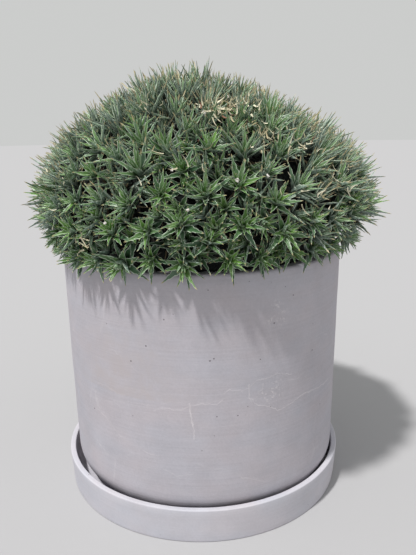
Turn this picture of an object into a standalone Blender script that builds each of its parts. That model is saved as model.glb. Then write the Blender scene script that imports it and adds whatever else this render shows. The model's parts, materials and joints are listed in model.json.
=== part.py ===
"""A cushion of deuterocohnia in a cast concrete pot that stands in its saucer.

Run it in Blender 4.5: blender --background --python part.py. Metres, +Z up. The saucer's underside
is z = 0, with its centre at the origin, and the side that faces -Y is the front.

The plant is one cushion of about two hundred rosettes. It grew as branches from a common crown, and
each branch here is a solid of its own: a stem in a hole in the soil, a woody core, and the rosettes
that stand out of the core. Branches are kept apart by flat cuts that all pass through one point
under the cushion, the crown.
"""

import math
import random

import bmesh
import bpy
from mathutils import Matrix, Vector
from mathutils.geometry import intersect_ray_tri

MM = 0.001
FACETS = 48

# Saucer, with a flat floor that the pot stands on
SAUCER_HEIGHT = 18.5 * MM
SAUCER_TOP_RADIUS = 78.5 * MM
SAUCER_FOOT_RADIUS = 77.3 * MM
SAUCER_WALL = 3.0 * MM
SAUCER_FLOOR = 5.0 * MM
SAUCER_EDGE = 0.6 * MM
SAUCER_FILLET = 3.0 * MM

# Pot, nearly straight, with a rounded foot and a drain hole. It stands a little to one side of the
# saucer's middle.
POT_SHIFT = Vector((1.0 * MM, 0.1 * MM, 0))
SEAT_GAP = 0.3 * MM
POT_BASE = SAUCER_FLOOR + SEAT_GAP
RIM_Z = 134.0 * MM
RIM_RADIUS = 75.0 * MM
SIDE_RADIUS_LOW = 74.0 * MM
FOOT_ROUND = 18.0 * MM
POT_WALL = 6.0 * MM
POT_FLOOR = 8.0 * MM
POT_FILLET = 8.0 * MM
RIM_EDGE = 1.4 * MM
DRAIN_RADIUS = 8.0 * MM

# Soil, which fills the pot to just under its rim
SOIL_GAP = 0.3 * MM
SOIL_EDGE_Z = RIM_Z - 9.0 * MM
SOIL_CROWN_Z = RIM_Z - 5.0 * MM
SOIL_BEND = 0.6
SOIL_BEND_FALL = 0.8 * MM

# Cushion: half its width, how far it rises above its widest level, and how fast it draws in below
CUSHION_RADIUS = 92.5 * MM
CUSHION_WIDEST_Z = 158.0 * MM
CUSHION_RISE = 66.0 * MM
CUSHION_DROP = 46.0 * MM
UPPER_POWER = 1.65
LOWER_POWER = 2.0
HEM_Z = 141.6 * MM

# Distances from the crown or the growth centre that are inside and outside the cushion all round
SURELY_INSIDE = 68.0 * MM
SURELY_OUTSIDE = 200.0 * MM

# Swells and furrows of the cushion: azimuth and elevation in degrees seen from the middle of its
# widest level, width in degrees, height as a share of the radius
SWELLS = (
    (-78.0, 52.0, 12.0, -0.045),
    (-118.0, 30.0, 13.0, -0.035),
    (-165.0, 24.0, 22.0, -0.03),
    (-150.0, 66.0, 20.0, 0.03),
    (-10.0, 2.0, 20.0, 0.025),
    (0.0, 42.0, 23.0, -0.055),
    (180.0, 46.0, 14.0, 0.035),
    (180.0, -7.0, 14.0, -0.055),
    (-30.0, 60.0, 16.0, -0.03),
    (40.0, 48.0, 15.0, -0.04),
    (100.0, 35.0, 18.0, 0.03),
    (150.0, 50.0, 14.0, -0.04),
)

# Rosettes: a hem of them hangs over the pot's rim, and the rest cover the cushion above it, from
# ABOVE_HEM degrees higher up. Reaches are measured out from a rosette's middle, and rises along
# the way that it faces.
HEM_ROSETTES = 34
UPPER_ROSETTES = 186
ABOVE_HEM = 6.0
HEM_SHAKE = 0.15
UPPER_SHAKE = 0.08
HEM_WAVE = 1.6 * MM
HEM_TOP = HEM_Z + 2 * HEM_WAVE
HEM_LEAST_RADIUS = RIM_RADIUS + 2.0 * MM
ROSETTE_SPACING = 16.5 * MM
SETTLE_ROUNDS = 22
SETTLE_PUSH = 0.2
TIP_RISE = 9.0 * MM
GROWTH_CENTRE = Vector((0, 0, 120.0 * MM))
LEAVES_PER_WHORL = 5
OUTER_REACH = 11.4 * MM
OUTER_RISE = 3.2 * MM
INNER_REACH = 5.4 * MM
INNER_RISE = 9.2 * MM
VALLEY_REACH = 5.5 * MM
VALLEY_RISE = 1.2 * MM
AXIL_REACH = 3.3 * MM
AXIL_RISE = 3.4 * MM
HEART_RISE = 2.4 * MM
LEAN = 14.0
SMALLEST, LARGEST = 0.85, 1.2
LEAF_GAP = 0.15 * MM
HEM_DROOP = 0.28
HEM_SIZE = 0.88
RIM_CLEARANCE = 1.2 * MM

# Where the hem's rosettes are smaller: azimuth and width in degrees, and by how much
HEM_TUCKS = (
    (197.0, 34.0, 0.40),
    (-5.0, 26.0, 0.36),
)

# Branches. The insets of a root and of a core are shares of the distance from the crown, and the
# elevations are seen from there.
BRANCHES = 36
BRANCH_TURN = 0.6
CROWN = Vector((0, 0, 93.0 * MM))
BRANCH_GAP = 0.36 * MM
ROSETTE_INSET = 2.6 * MM
CORE_DEPTH = 3.4 * MM
ROOT_DEPTH = 1.8 * MM
ROOT_INSET = 0.045
LOW_ROOT_INSET = 0.012
CORE_INSET = 0.009
CORE_THICK = 16.0 * MM
CORE_NARROWING = 0.42
LOWEST_CORE_ELEVATION = math.radians(31.9)
LOW_CUT_TURNS = (-0.7, -0.35, 0.0, 0.35, 0.7)
LOWEST_STEM_ELEVATION = math.radians(38.0)
STEM_SIDES = 6
STEM_RADIUS = 2.1 * MM
STEM_START = 24.0 * MM
STEM_SINK = 4.0 * MM
HOLE_GAP = 0.35 * MM
HOLE_OVERSHOOT = 4.0 * MM

GOLDEN_ANGLE = math.pi * (3 - math.sqrt(5))
SEED = 11


def clear_scene():
    for obj in list(bpy.data.objects):
        bpy.data.objects.remove(obj, do_unlink=True)


def new_collection(name, hidden=False):
    collection = bpy.data.collections.new(name)
    bpy.context.scene.collection.children.link(collection)
    collection.hide_render = hidden
    return collection


def material(name, colour, roughness):
    made = bpy.data.materials.new(name)
    made.use_nodes = True
    shader = made.node_tree.nodes["Principled BSDF"]
    shader.inputs["Base Color"].default_value = (*colour, 1.0)
    shader.inputs["Roughness"].default_value = roughness
    shader.inputs["Metallic"].default_value = 0.0
    made.diffuse_color = (*colour, 1.0)
    return made


def mesh_object(name, points, faces, collection, edges=()):
    mesh = bpy.data.meshes.new(name)
    mesh.from_pydata([tuple(point) for point in points], list(edges), list(faces))
    mesh.update()
    obj = bpy.data.objects.new(name, mesh)
    collection.objects.link(obj)
    return obj


def turned(name, profile, collection):
    """A solid turned about Z from a profile of (radius, height) points, outer side from top to bottom."""
    points = [(radius, 0, height) for radius, height in profile]
    closed = profile[0][0] > 0
    count = len(points)
    edges = [(i, (i + 1) % count) for i in range(count if closed else count - 1)]
    obj = mesh_object(name, points, [], collection, edges)
    screw = obj.modifiers.new("turn", "SCREW")
    screw.axis = "Z"
    screw.angle = math.tau
    screw.steps = FACETS
    screw.render_steps = FACETS
    screw.use_merge_vertices = True
    screw.merge_threshold = 0.00001
    return obj


def arc(centre, radius, start, end, steps):
    """Points of a round stretch of a profile, its angles in degrees from the +radius direction."""
    angles = [math.radians(start + (end - start) * i / steps) for i in range(steps + 1)]
    return [(centre[0] + radius * math.cos(a), centre[1] + radius * math.sin(a)) for a in angles]


def as_mesh(obj):
    """Applies the object's modifiers."""
    graph = bpy.context.evaluated_depsgraph_get()
    mesh = bpy.data.meshes.new_from_object(obj.evaluated_get(graph))
    obj.modifiers.clear()
    old = obj.data
    obj.data = mesh
    bpy.data.meshes.remove(old)


def boolean(obj, others, operation):
    """Joins a collection of solids to the object, or cuts them from it, and removes them."""
    step = obj.modifiers.new(operation.lower(), "BOOLEAN")
    step.operation = operation
    step.solver = "MANIFOLD"
    step.operand_type = "COLLECTION"
    step.collection = others
    as_mesh(obj)
    for other in list(others.objects):
        bpy.data.objects.remove(other, do_unlink=True)
    bpy.data.collections.remove(others)


# Saucer and pot


def make_saucer(collection):
    edge = SAUCER_EDGE
    inner_top = SAUCER_TOP_RADIUS - SAUCER_WALL
    inner_foot = SAUCER_FOOT_RADIUS - SAUCER_WALL - SAUCER_FILLET
    profile = [(0, SAUCER_FLOOR)]
    profile += arc((inner_foot, SAUCER_FLOOR + SAUCER_FILLET), SAUCER_FILLET, -90, 0, 2)
    profile += arc((inner_top + edge, SAUCER_HEIGHT - edge), edge, 180, 90, 1)
    profile += arc((SAUCER_TOP_RADIUS - edge, SAUCER_HEIGHT - edge), edge, 90, 0, 2)
    profile += arc((SAUCER_FOOT_RADIUS - edge, edge), edge, 0, -90, 1)
    profile.append((0, 0))
    return turned("saucer", profile, collection)


def pot_inner_radius(height):
    """Radius of the pot's inner wall at a height, without the fillet at its floor."""
    share = (height - POT_BASE) / (RIM_Z - POT_BASE)
    return SIDE_RADIUS_LOW + (RIM_RADIUS - SIDE_RADIUS_LOW) * share - POT_WALL


def make_pot(collection):
    edge = RIM_EDGE
    floor = POT_BASE + POT_FLOOR
    inner_low = (pot_inner_radius(floor) - POT_FILLET, floor + POT_FILLET)
    inner_rim = (RIM_RADIUS - POT_WALL + edge, RIM_Z - edge)
    foot = (SIDE_RADIUS_LOW - FOOT_ROUND, POT_BASE + FOOT_ROUND)
    profile = [(DRAIN_RADIUS, floor)]
    profile += arc(inner_low, POT_FILLET, -90, 0, 2)
    profile += arc(inner_rim, edge, 180, 90, 1)
    profile += arc((RIM_RADIUS - edge, RIM_Z - edge), edge, 90, 0, 2)
    profile += arc(foot, FOOT_ROUND, 0, -90, 4)
    profile.append((DRAIN_RADIUS, POT_BASE))
    pot = turned("pot", profile, collection)
    as_mesh(pot)
    return pot


# Cushion: its surface, and where the rosettes stand on it


def swell(direction):
    """Share by which the cushion stands out or draws in along a direction from its middle."""
    total = 1.0
    for azimuth, elevation, width, height in SWELLS:
        a, e = math.radians(azimuth), math.radians(elevation)
        axis = Vector((math.cos(a) * math.cos(e), math.sin(a) * math.cos(e), math.sin(e)))
        angle = math.degrees(axis.angle(direction))
        total += height * math.exp(-0.5 * (angle / width) ** 2)
    return total


def outside(point, depth):
    """Below 0 inside the surface that lies this deep under the leaf tips, above 0 outside it."""
    offset = point - Vector((0, 0, CUSHION_WIDEST_Z))
    offset = offset / swell(offset)
    above = offset.z > 0
    tall, power = (CUSHION_RISE - depth, UPPER_POWER) if above else (CUSHION_DROP, LOWER_POWER)
    level = (math.hypot(offset.x, offset.y) / (CUSHION_RADIUS - depth)) ** power
    return level + (abs(offset.z) / tall) ** power - 1.0


def reach(origin, direction, depth):
    """Distance along a ray to the surface this deep under the tips, by halving."""
    near, far = SURELY_INSIDE, SURELY_OUTSIDE
    for _ in range(26):
        middle = (near + far) / 2
        if outside(origin + direction * middle, depth) < 0:
            near = middle
        else:
            far = middle
    return near


def on_cushion(direction, depth=TIP_RISE):
    """The point of the rosettes' surface in a direction from the growth centre."""
    return GROWTH_CENTRE + direction * reach(GROWTH_CENTRE, direction, depth)


def even_directions(count, turn):
    """Directions spread evenly over the cushion above its hem, each a golden angle on from the last."""
    lowest = hem_elevation() + ABOVE_HEM
    rings = 240
    lifts = [math.radians(lowest + (90 - lowest) * (i + 0.5) / rings) for i in range(rings)]
    middles = [on_cushion(Vector((math.cos(e), 0, math.sin(e)))) for e in lifts]
    areas = []
    for i, middle in enumerate(middles):
        before, after = middles[max(i - 1, 0)], middles[min(i + 1, rings - 1)]
        areas.append(middle.x * (after - before).length)
    whole = sum(areas)
    found = []
    passed, ring = 0.0, 0
    for i in range(count):
        target = whole * (i + 0.5) / count
        while passed + areas[ring] < target:
            passed += areas[ring]
            ring += 1
        a, e = turn + i * GOLDEN_ANGLE, lifts[ring]
        found.append(Vector((math.cos(a) * math.cos(e), math.sin(a) * math.cos(e), math.sin(e))))
    return found


def hem_elevation():
    """Elevation in degrees of the hem of rosettes, seen from the growth centre."""
    return math.degrees(math.atan2(HEM_Z - GROWTH_CENTRE.z, CUSHION_RADIUS - TIP_RISE))


def cell_planes(axes, index):
    """Inward normals of the flat cuts round one branch, all through the crown."""
    own = axes[index]
    return [(own - other).normalized() for i, other in enumerate(axes) if i != index]


def nearest_branch(point, axes):
    direction = point - CROWN
    return max(range(len(axes)), key=lambda i: direction.dot(axes[i]))


def place_rosettes(draw, axes):
    """Centres of the rosettes: spread evenly, shaken, pushed apart, and kept off the cuts.

    The hem comes first in the list, and its rosettes only move round the pot.
    """
    points, heights = [], []
    for i in range(HEM_ROSETTES):
        a = math.tau * (i + draw.uniform(-HEM_SHAKE, HEM_SHAKE)) / HEM_ROSETTES
        heights.append(HEM_Z + draw.uniform(-1, 1) * HEM_WAVE)
        points.append(on_level(Vector((math.cos(a), math.sin(a), 0)), heights[i]))
    for direction in even_directions(UPPER_ROSETTES, 0.0):
        shake = Vector([draw.uniform(-UPPER_SHAKE, UPPER_SHAKE) for _ in range(3)])
        points.append(on_cushion((direction + shake).normalized()))
    planes = [cell_planes(axes, i) for i in range(len(axes))]
    for _ in range(SETTLE_ROUNDS):
        pushes = [Vector((0, 0, 0)) for _ in points]
        for i, a in enumerate(points):
            for j in range(i):
                apart = a - points[j]
                short = ROSETTE_SPACING - apart.length
                if short > 0:
                    push = apart.normalized() * short * SETTLE_PUSH
                    pushes[i] += push
                    pushes[j] -= push
        for i, push in enumerate(pushes):
            point = points[i] + push
            for normal in planes[nearest_branch(point, axes)]:
                short = ROSETTE_INSET - (point - CROWN).dot(normal)
                if short > 0:
                    point = point + normal * short
            if i < HEM_ROSETTES:
                points[i] = on_level(point, heights[i])
            else:
                points[i] = on_cushion((point - GROWTH_CENTRE).normalized())
    return points


def on_level(point, height):
    """The point of the hem at a height, on the same side of the pot as the given point."""
    out = Vector((point.x, point.y, 0)).normalized()
    origin = Vector((0, 0, height))
    return origin + out * max(reach(origin, out, TIP_RISE), HEM_LEAST_RADIUS)


# Branches: a stem, a core and the rosettes that stand out of it


def frame_of(axis):
    """Two unit vectors square to an axis and to each other."""
    side = Vector((0, 0, 1)).cross(axis)
    if side.length < 0.05:
        side = Vector((1, 0, 0))
    side.normalize()
    return side, axis.cross(side)


def clipped(polygon, keep):
    """The part of a flat polygon where keep(x, y) is above 0, keep being linear."""
    found = []
    for i, point in enumerate(polygon):
        before = polygon[i - 1]
        here, there = keep(*point), keep(*before)
        if (here > 0) != (there > 0):
            share = there / (there - here)
            found.append(tuple(b + (p - b) * share for b, p in zip(before, point)))
        if here > 0:
            found.append(point)
    return found


def cell_outline(axes, index, inset, low_inset):
    """Corners of a branch's cell, in the plane one unit from the crown along its axis."""
    axis = axes[index]
    side, up = frame_of(axis)
    azimuth = math.atan2(axis.y, axis.x)
    cuts = [(normal, inset) for normal in cell_planes(axes, index)]
    low = LOWEST_CORE_ELEVATION
    for turn in LOW_CUT_TURNS:
        a = azimuth + turn
        level = Vector((-math.sin(low) * math.cos(a), -math.sin(low) * math.sin(a), math.cos(low)))
        cuts.append((level, low_inset))
    outline = [(-1, -1), (1, -1), (1, 1), (-1, 1)]
    for n, gap in cuts:
        outline = clipped(outline, lambda x, y, n=n, g=gap: (axis + side * x + up * y).dot(n) - g)
    return outline


def middle_of(outline):
    return tuple(sum(corner[k] for corner in outline) / len(outline) for k in (0, 1))


def make_core(name, axes, index, collection):
    """The woody core: a fan of faces under the rosettes, drawn in below towards the stem."""
    axis = axes[index]
    side, up = frame_of(axis)
    outline = cell_outline(axes, index, CORE_INSET, 0.0)
    middle = middle_of(outline)
    points = []
    for x, y in [middle] + outline:
        direction = (axis + side * x + up * y).normalized()
        points.append(CROWN + direction * (reach(CROWN, direction, TIP_RISE) - CORE_DEPTH))
    low = (points[0] - CROWN).dot(axis) - CORE_THICK
    for x, y in outline:
        x = middle[0] + (x - middle[0]) * CORE_NARROWING
        y = middle[1] + (y - middle[1]) * CORE_NARROWING
        points.append(CROWN + (axis + side * x + up * y) * low)
    count = len(outline)
    faces = []
    for i in range(count):
        j = (i + 1) % count
        faces.append((0, 1 + i, 1 + j))
        faces.append((1 + j, 1 + i, 1 + count + i, 1 + count + j))
    faces.append(tuple(range(2 * count, count, -1)))
    foot = CROWN + (axis + side * middle[0] + up * middle[1]) * (low + STEM_SINK)
    return mesh_object(name, points, faces, collection), points[: count + 1], foot


def stem_line(axis, foot):
    """Both ends of a branch's stem: deep in its hole in the soil, and inside the core."""
    elevation = max(math.asin(axis.z), LOWEST_STEM_ELEVATION)
    flat = Vector((axis.x, axis.y, 0)).normalized() * math.cos(elevation)
    start = CROWN + Vector((flat.x, flat.y, math.sin(elevation))) * STEM_START
    return start, foot


def make_rod(name, start, end, radius, collection):
    """A slim prism between two points."""
    along = end - start
    turn = along.to_track_quat("Z", "Y").to_matrix().to_4x4()
    shape = bmesh.new()
    bmesh.ops.create_cone(
        shape,
        cap_ends=True,
        segments=STEM_SIDES,
        radius1=radius,
        radius2=radius,
        depth=along.length,
        matrix=Matrix.Translation((start + end) / 2) @ turn,
    )
    obj = mesh_object(name, [], [], collection)
    shape.to_mesh(obj.data)
    shape.free()
    return obj


def root_point(centre, axes, index, outline, fan):
    """Where a rosette's root ends: inside the core, under the fan of faces that is the core's top."""
    axis = axes[index]
    side, up = frame_of(axis)
    direction = centre - CROWN
    direction = direction / direction.dot(axis)
    x, y = direction.dot(side), direction.dot(up)
    middle = middle_of(outline)
    while not inside_outline(x, y, outline):
        x += (middle[0] - x) * 0.05
        y += (middle[1] - y) * 0.05
    direction = (axis + side * x + up * y).normalized()
    for i in range(1, len(fan)):
        hit = intersect_ray_tri(fan[0], fan[i - 1] if i > 1 else fan[-1], fan[i], direction, CROWN)
        if hit:
            return hit - direction * ROOT_DEPTH
    raise ValueError("a root misses the core")


def inside_outline(x, y, outline):
    """Whether a point is inside an outline whose corners run counter-clockwise."""
    for i, (bx, by) in enumerate(outline):
        ax, ay = outline[i - 1]
        if (bx - ax) * (y - ay) - (by - ay) * (x - ax) < 0:
            return False
    return True


def held_back(point, centre, cuts):
    """A point of a rosette, drawn towards its centre until it is on the right side of every cut."""
    share = 1.0
    for origin, normal, gap in cuts:
        beyond = (point - origin).dot(normal) - gap
        inside = (centre - origin).dot(normal) - gap
        if beyond < 0 < inside:
            share = min(share, inside / (inside - beyond))
    return centre + (point - centre) * share


def grown_size(centre):
    """How large a rosette grows at its place: less at the hem, and least where that is tucked in."""
    if centre.z > HEM_TOP:
        return 1.0
    azimuth = math.degrees(math.atan2(centre.y, centre.x))
    size = HEM_SIZE
    for middle, width, share in HEM_TUCKS:
        apart = (azimuth - middle + 180) % 360 - 180
        size -= share * math.exp(-0.5 * (apart / width) ** 2)
    return size


def rosette_solid(draw, centre, root, cuts):
    """Points and faces of one rosette: a whorl of spreading leaves round a whorl of upright ones.

    Each leaf is a three-sided spike, and the valleys between the spreading ones taper to the root.
    """
    facing = (centre - GROWTH_CENTRE).normalized()
    if centre.z < HEM_TOP:
        facing.z -= HEM_DROOP
    lean = Vector([draw.uniform(-1, 1) for _ in range(3)]) * math.tan(math.radians(LEAN))
    facing = (facing + lean).normalized()
    side, up = frame_of(facing)
    size = draw.uniform(SMALLEST, LARGEST) * grown_size(centre)
    turn = draw.uniform(0, math.tau)

    def at(angle, out, rise):
        a = turn + angle
        flat = (side * math.cos(a) + up * math.sin(a)) * out * size
        return held_back(centre + flat + facing * rise * size, centre, cuts)

    count = LEAVES_PER_WHORL
    step = math.tau / count
    points = [centre + facing * HEART_RISE, root]
    for i in range(count):
        long = draw.uniform(0.9, 1.1)
        points.append(at(i * step, OUTER_REACH * long, OUTER_RISE * draw.uniform(0.5, 1.5)))
        points.append(at((i + 0.5) * step, VALLEY_REACH, VALLEY_RISE))
        points.append(at((i + 0.5) * step, INNER_REACH * long, INNER_RISE * draw.uniform(0.85, 1.1)))
        points.append(at(i * step, AXIL_REACH, AXIL_RISE))
    faces = []
    for i in range(count):
        tip, valley, upper, axil = (2 + 4 * i + k for k in range(4))
        valley_before = 2 + 4 * ((i - 1) % count) + 1
        axil_after = 2 + 4 * ((i + 1) % count) + 3
        faces += [(axil, valley_before, tip), (axil, tip, valley)]
        faces += [(tip, valley_before, valley), (valley, valley_before, 1)]
        faces += [(upper, axil, valley), (upper, valley, axil_after)]
        faces += [(0, axil, upper), (0, upper, axil_after)]
    return points, faces


def rosette_cuts(index, centres, owner, axes):
    """What a rosette keeps clear of: other branches, its neighbours and the pot's side."""
    branch = owner[index]
    centre = centres[index]
    cuts = [(CROWN, normal, BRANCH_GAP / 2) for normal in cell_planes(axes, branch)]
    for other, place in enumerate(centres):
        apart = centre - place
        if other != index and owner[other] == branch and apart.length < 3 * OUTER_REACH:
            cuts.append(((centre + place) / 2, apart.normalized(), LEAF_GAP))
    out = Vector((centre.x, centre.y, 0)).normalized()
    if centre.z < RIM_Z + OUTER_REACH:
        cuts.append((out * (RIM_RADIUS + RIM_CLEARANCE), out, 0.0))
    return cuts


def make_branch(name, index, axes, centres, owner, draw, collection):
    core, fan, foot = make_core(name, axes, index, collection)
    start, end = stem_line(axes[index], foot)
    added = new_collection(name + " growth", hidden=True)
    make_rod(name + " stem", start, end, STEM_RADIUS, added)
    outline = cell_outline(axes, index, ROOT_INSET, LOW_ROOT_INSET)
    for i, centre in enumerate(centres):
        if owner[i] != index:
            continue
        root = root_point(centre, axes, index, outline, fan)
        cuts = rosette_cuts(i, centres, owner, axes)
        points, faces = rosette_solid(draw, centre, root, cuts)
        mesh_object(f"{name} rosette", points, faces, added)
    boolean(core, added, "UNION")
    return core, (start, end)


# Soil, with a plain hole for each stem


def make_soil(stems, collection):
    bottom = POT_BASE + POT_FLOOR + SOIL_GAP
    bend = (pot_inner_radius(SOIL_EDGE_Z) * SOIL_BEND, SOIL_CROWN_Z - SOIL_BEND_FALL)
    edge_radius = pot_inner_radius(SOIL_EDGE_Z) - SOIL_GAP
    low_radius = pot_inner_radius(bottom) - SOIL_GAP
    profile = [(0, SOIL_CROWN_Z), bend, (edge_radius, SOIL_EDGE_Z)]
    profile += arc((low_radius - POT_FILLET, bottom + POT_FILLET), POT_FILLET, 0, -90, 2)
    profile.append((0, bottom))
    soil = turned("soil", profile, collection)
    as_mesh(soil)
    cutters = new_collection("stem holes", hidden=True)
    for i, (start, end) in enumerate(stems):
        axis = (end - start).normalized()
        deep = start - axis * HOLE_GAP
        high = start + axis * (SOIL_CROWN_Z + HOLE_OVERSHOOT - start.z) / axis.z
        cutter = make_rod(f"hole {i + 1}", deep, high, STEM_RADIUS + HOLE_GAP, cutters)
        cutter.display_type = "WIRE"
    boolean(soil, cutters, "DIFFERENCE")
    return soil


def main():
    clear_scene()
    collection = new_collection("potted deuterocohnia")
    draw = random.Random(SEED)

    concrete = material("lilac grey concrete", (0.47, 0.44, 0.48), 0.85)
    earth = material("potting soil", (0.035, 0.022, 0.014), 0.95)
    leaf = material("grey green leaf", (0.10, 0.19, 0.09), 0.6)

    make_saucer(collection).data.materials.append(concrete)
    pot = make_pot(collection)
    pot.data.materials.append(concrete)

    axes = []
    for direction in even_directions(BRANCHES, BRANCH_TURN):
        axes.append((on_cushion(direction) - CROWN).normalized())
    centres = place_rosettes(draw, axes)
    owner = [nearest_branch(centre, axes) for centre in centres]
    stems = []
    shifted = [pot]
    for i in range(BRANCHES):
        name = f"branch_{i + 1:02d}"
        branch, stem = make_branch(name, i, axes, centres, owner, draw, collection)
        branch.data.materials.append(leaf)
        shifted.append(branch)
        stems.append(stem)
    soil = make_soil(stems, collection)
    soil.data.materials.append(earth)
    shifted.append(soil)
    for obj in shifted:
        obj.data.transform(Matrix.Translation(POT_SHIFT))
    print(f"{len(centres)} rosettes on {BRANCHES} branches")


main()
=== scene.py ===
# %% [markdown]
# A potted deuterocohnia, dressed for its portrait.
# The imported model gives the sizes: a concrete saucer, a concrete pot, soil, and a cushion of
# branches that are covered with rosettes. This lesson keeps those places and makes what the eye
# wants from close by: toothed leaves, old dry leaves below them, cast concrete and crumbs of soil.

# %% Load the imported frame
import itertools
import json
import math
import random

import bmesh
import bpy
from mathutils import Matrix, Vector, noise

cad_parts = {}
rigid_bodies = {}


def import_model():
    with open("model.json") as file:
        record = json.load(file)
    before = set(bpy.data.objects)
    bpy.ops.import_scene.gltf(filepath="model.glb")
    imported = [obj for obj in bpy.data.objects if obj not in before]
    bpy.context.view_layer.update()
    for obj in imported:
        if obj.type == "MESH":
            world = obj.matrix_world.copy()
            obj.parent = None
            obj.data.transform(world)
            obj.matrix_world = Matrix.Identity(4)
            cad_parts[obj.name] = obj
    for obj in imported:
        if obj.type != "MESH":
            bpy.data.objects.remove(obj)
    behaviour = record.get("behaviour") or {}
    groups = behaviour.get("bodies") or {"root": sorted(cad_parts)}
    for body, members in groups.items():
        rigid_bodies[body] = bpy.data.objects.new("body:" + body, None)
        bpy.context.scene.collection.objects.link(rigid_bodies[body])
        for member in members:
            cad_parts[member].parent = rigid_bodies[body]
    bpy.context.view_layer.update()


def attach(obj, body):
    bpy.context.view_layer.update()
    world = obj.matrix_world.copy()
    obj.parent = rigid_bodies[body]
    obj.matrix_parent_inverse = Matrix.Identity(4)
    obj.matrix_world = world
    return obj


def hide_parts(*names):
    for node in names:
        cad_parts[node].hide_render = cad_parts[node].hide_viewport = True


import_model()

MM = 0.001

# %% [markdown]
# The camera comes first, because everything later is judged through it. Its place was worked out
# from the ellipses of the rim and the saucer: it looks down by about fifteen degrees from a third
# of a metre away, and is held a little tilted. A camera's axes are the columns of its matrix.

# %% Camera
PICTURE_WIDTH, PICTURE_HEIGHT = 416, 555
FOCAL_PIXELS = 584.85
CAMERA_PLACE = Vector((0.0, -0.31934, 0.19747))
LOOK_DOWN, LOOK_RIGHT, TILT = (math.radians(a) for a in (14.852, 0.751, -0.888))

ahead = Vector(
    (
        math.sin(LOOK_RIGHT) * math.cos(LOOK_DOWN),
        math.cos(LOOK_RIGHT) * math.cos(LOOK_DOWN),
        -math.sin(LOOK_DOWN),
    )
)
level_right = ahead.cross(Vector((0, 0, 1))).normalized()
level_up = level_right.cross(ahead)
camera_right = level_right * math.cos(TILT) + level_up * math.sin(TILT)
camera_up = level_up * math.cos(TILT) - level_right * math.sin(TILT)

lens = bpy.data.cameras.new("camera")
lens.sensor_width = 36.0
lens.lens = FOCAL_PIXELS / PICTURE_HEIGHT * lens.sensor_width
lens.clip_start = 0.01
camera = bpy.data.objects.new("camera", lens)
columns = Matrix((camera_right, camera_up, -ahead)).transposed()
camera.matrix_world = Matrix.Translation(CAMERA_PLACE) @ columns.to_4x4()
bpy.context.scene.collection.objects.link(camera)
bpy.context.scene.camera = camera


def line_of_sight(x, y):
    """The direction from the camera through a pixel of the photograph's frame."""
    right = camera_right * (x - PICTURE_WIDTH / 2)
    down = camera_up * (y - PICTURE_HEIGHT / 2)
    return (ahead * FOCAL_PIXELS + right - down).normalized()


print(f"camera: {lens.lens:.2f} mm lens")

# %% [markdown]
# One lamp stands high on the front left, far enough away that its rays are nearly parallel, and
# throws the leaves' soft shadows down the pot. A pale world around it gives light from all sides.
# The floor is a plain sheet that is not part of the object.

# %% Floor, lamp and world
FLOOR_RADIUS, FLOOR_GREY = 6.0, (0.435, 0.432, 0.442, 1)
WORLD_COLOUR, WORLD_STRENGTH = (0.80, 0.81, 0.80, 1), 0.75
LAMP_SIDE, LAMP_SPREAD, LAMP_POWER = (-0.33, -0.40, 1.0), 4.0, 3.2
LAMP_COLOUR = (1.0, 0.99, 0.97)


def shader_material(name, **values):
    """A material with one Principled BSDF whose plain sockets are set by name."""
    made = bpy.data.materials.new(name)
    made.use_nodes = True
    for socket, value in values.items():
        surface_of(made).inputs[socket.replace("_", " ")].default_value = value
    return made


def surface_of(material):
    return material.node_tree.nodes["Principled BSDF"]


bpy.ops.mesh.primitive_circle_add(vertices=64, radius=FLOOR_RADIUS, fill_type="NGON")
floor = bpy.context.object
floor.name = "floor"
pale = shader_material("pale floor", Base_Color=FLOOR_GREY, Roughness=1.0, Specular_IOR_Level=0.0)
floor.data.materials.append(pale)

lamp = bpy.data.lights.new("key", "SUN")
lamp.angle = math.radians(LAMP_SPREAD)
lamp.energy = LAMP_POWER
lamp.color = LAMP_COLOUR
key = bpy.data.objects.new("key", lamp)
key.matrix_world = Vector(LAMP_SIDE).to_track_quat("Z", "Y").to_matrix().to_4x4()
bpy.context.scene.collection.objects.link(key)

world = bpy.data.worlds.new("studio")
bpy.context.scene.world = world
world.use_nodes = True
world.node_tree.nodes["Background"].inputs["Color"].default_value = WORLD_COLOUR
world.node_tree.nodes["Background"].inputs["Strength"].default_value = WORLD_STRENGTH
bpy.context.scene.view_settings.view_transform = "Standard"
print("light: one lamp and a pale world")

# %% [markdown]
# Node trees are easier to read when they look like arithmetic. A `Flow` is what comes out of a
# node, and a sum or product of flows adds the Math node for it. `ramp` maps one range to another,
# and `mix` goes from one colour to another. `add` makes any other node and feeds its sockets.

# %% Flows


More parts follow.
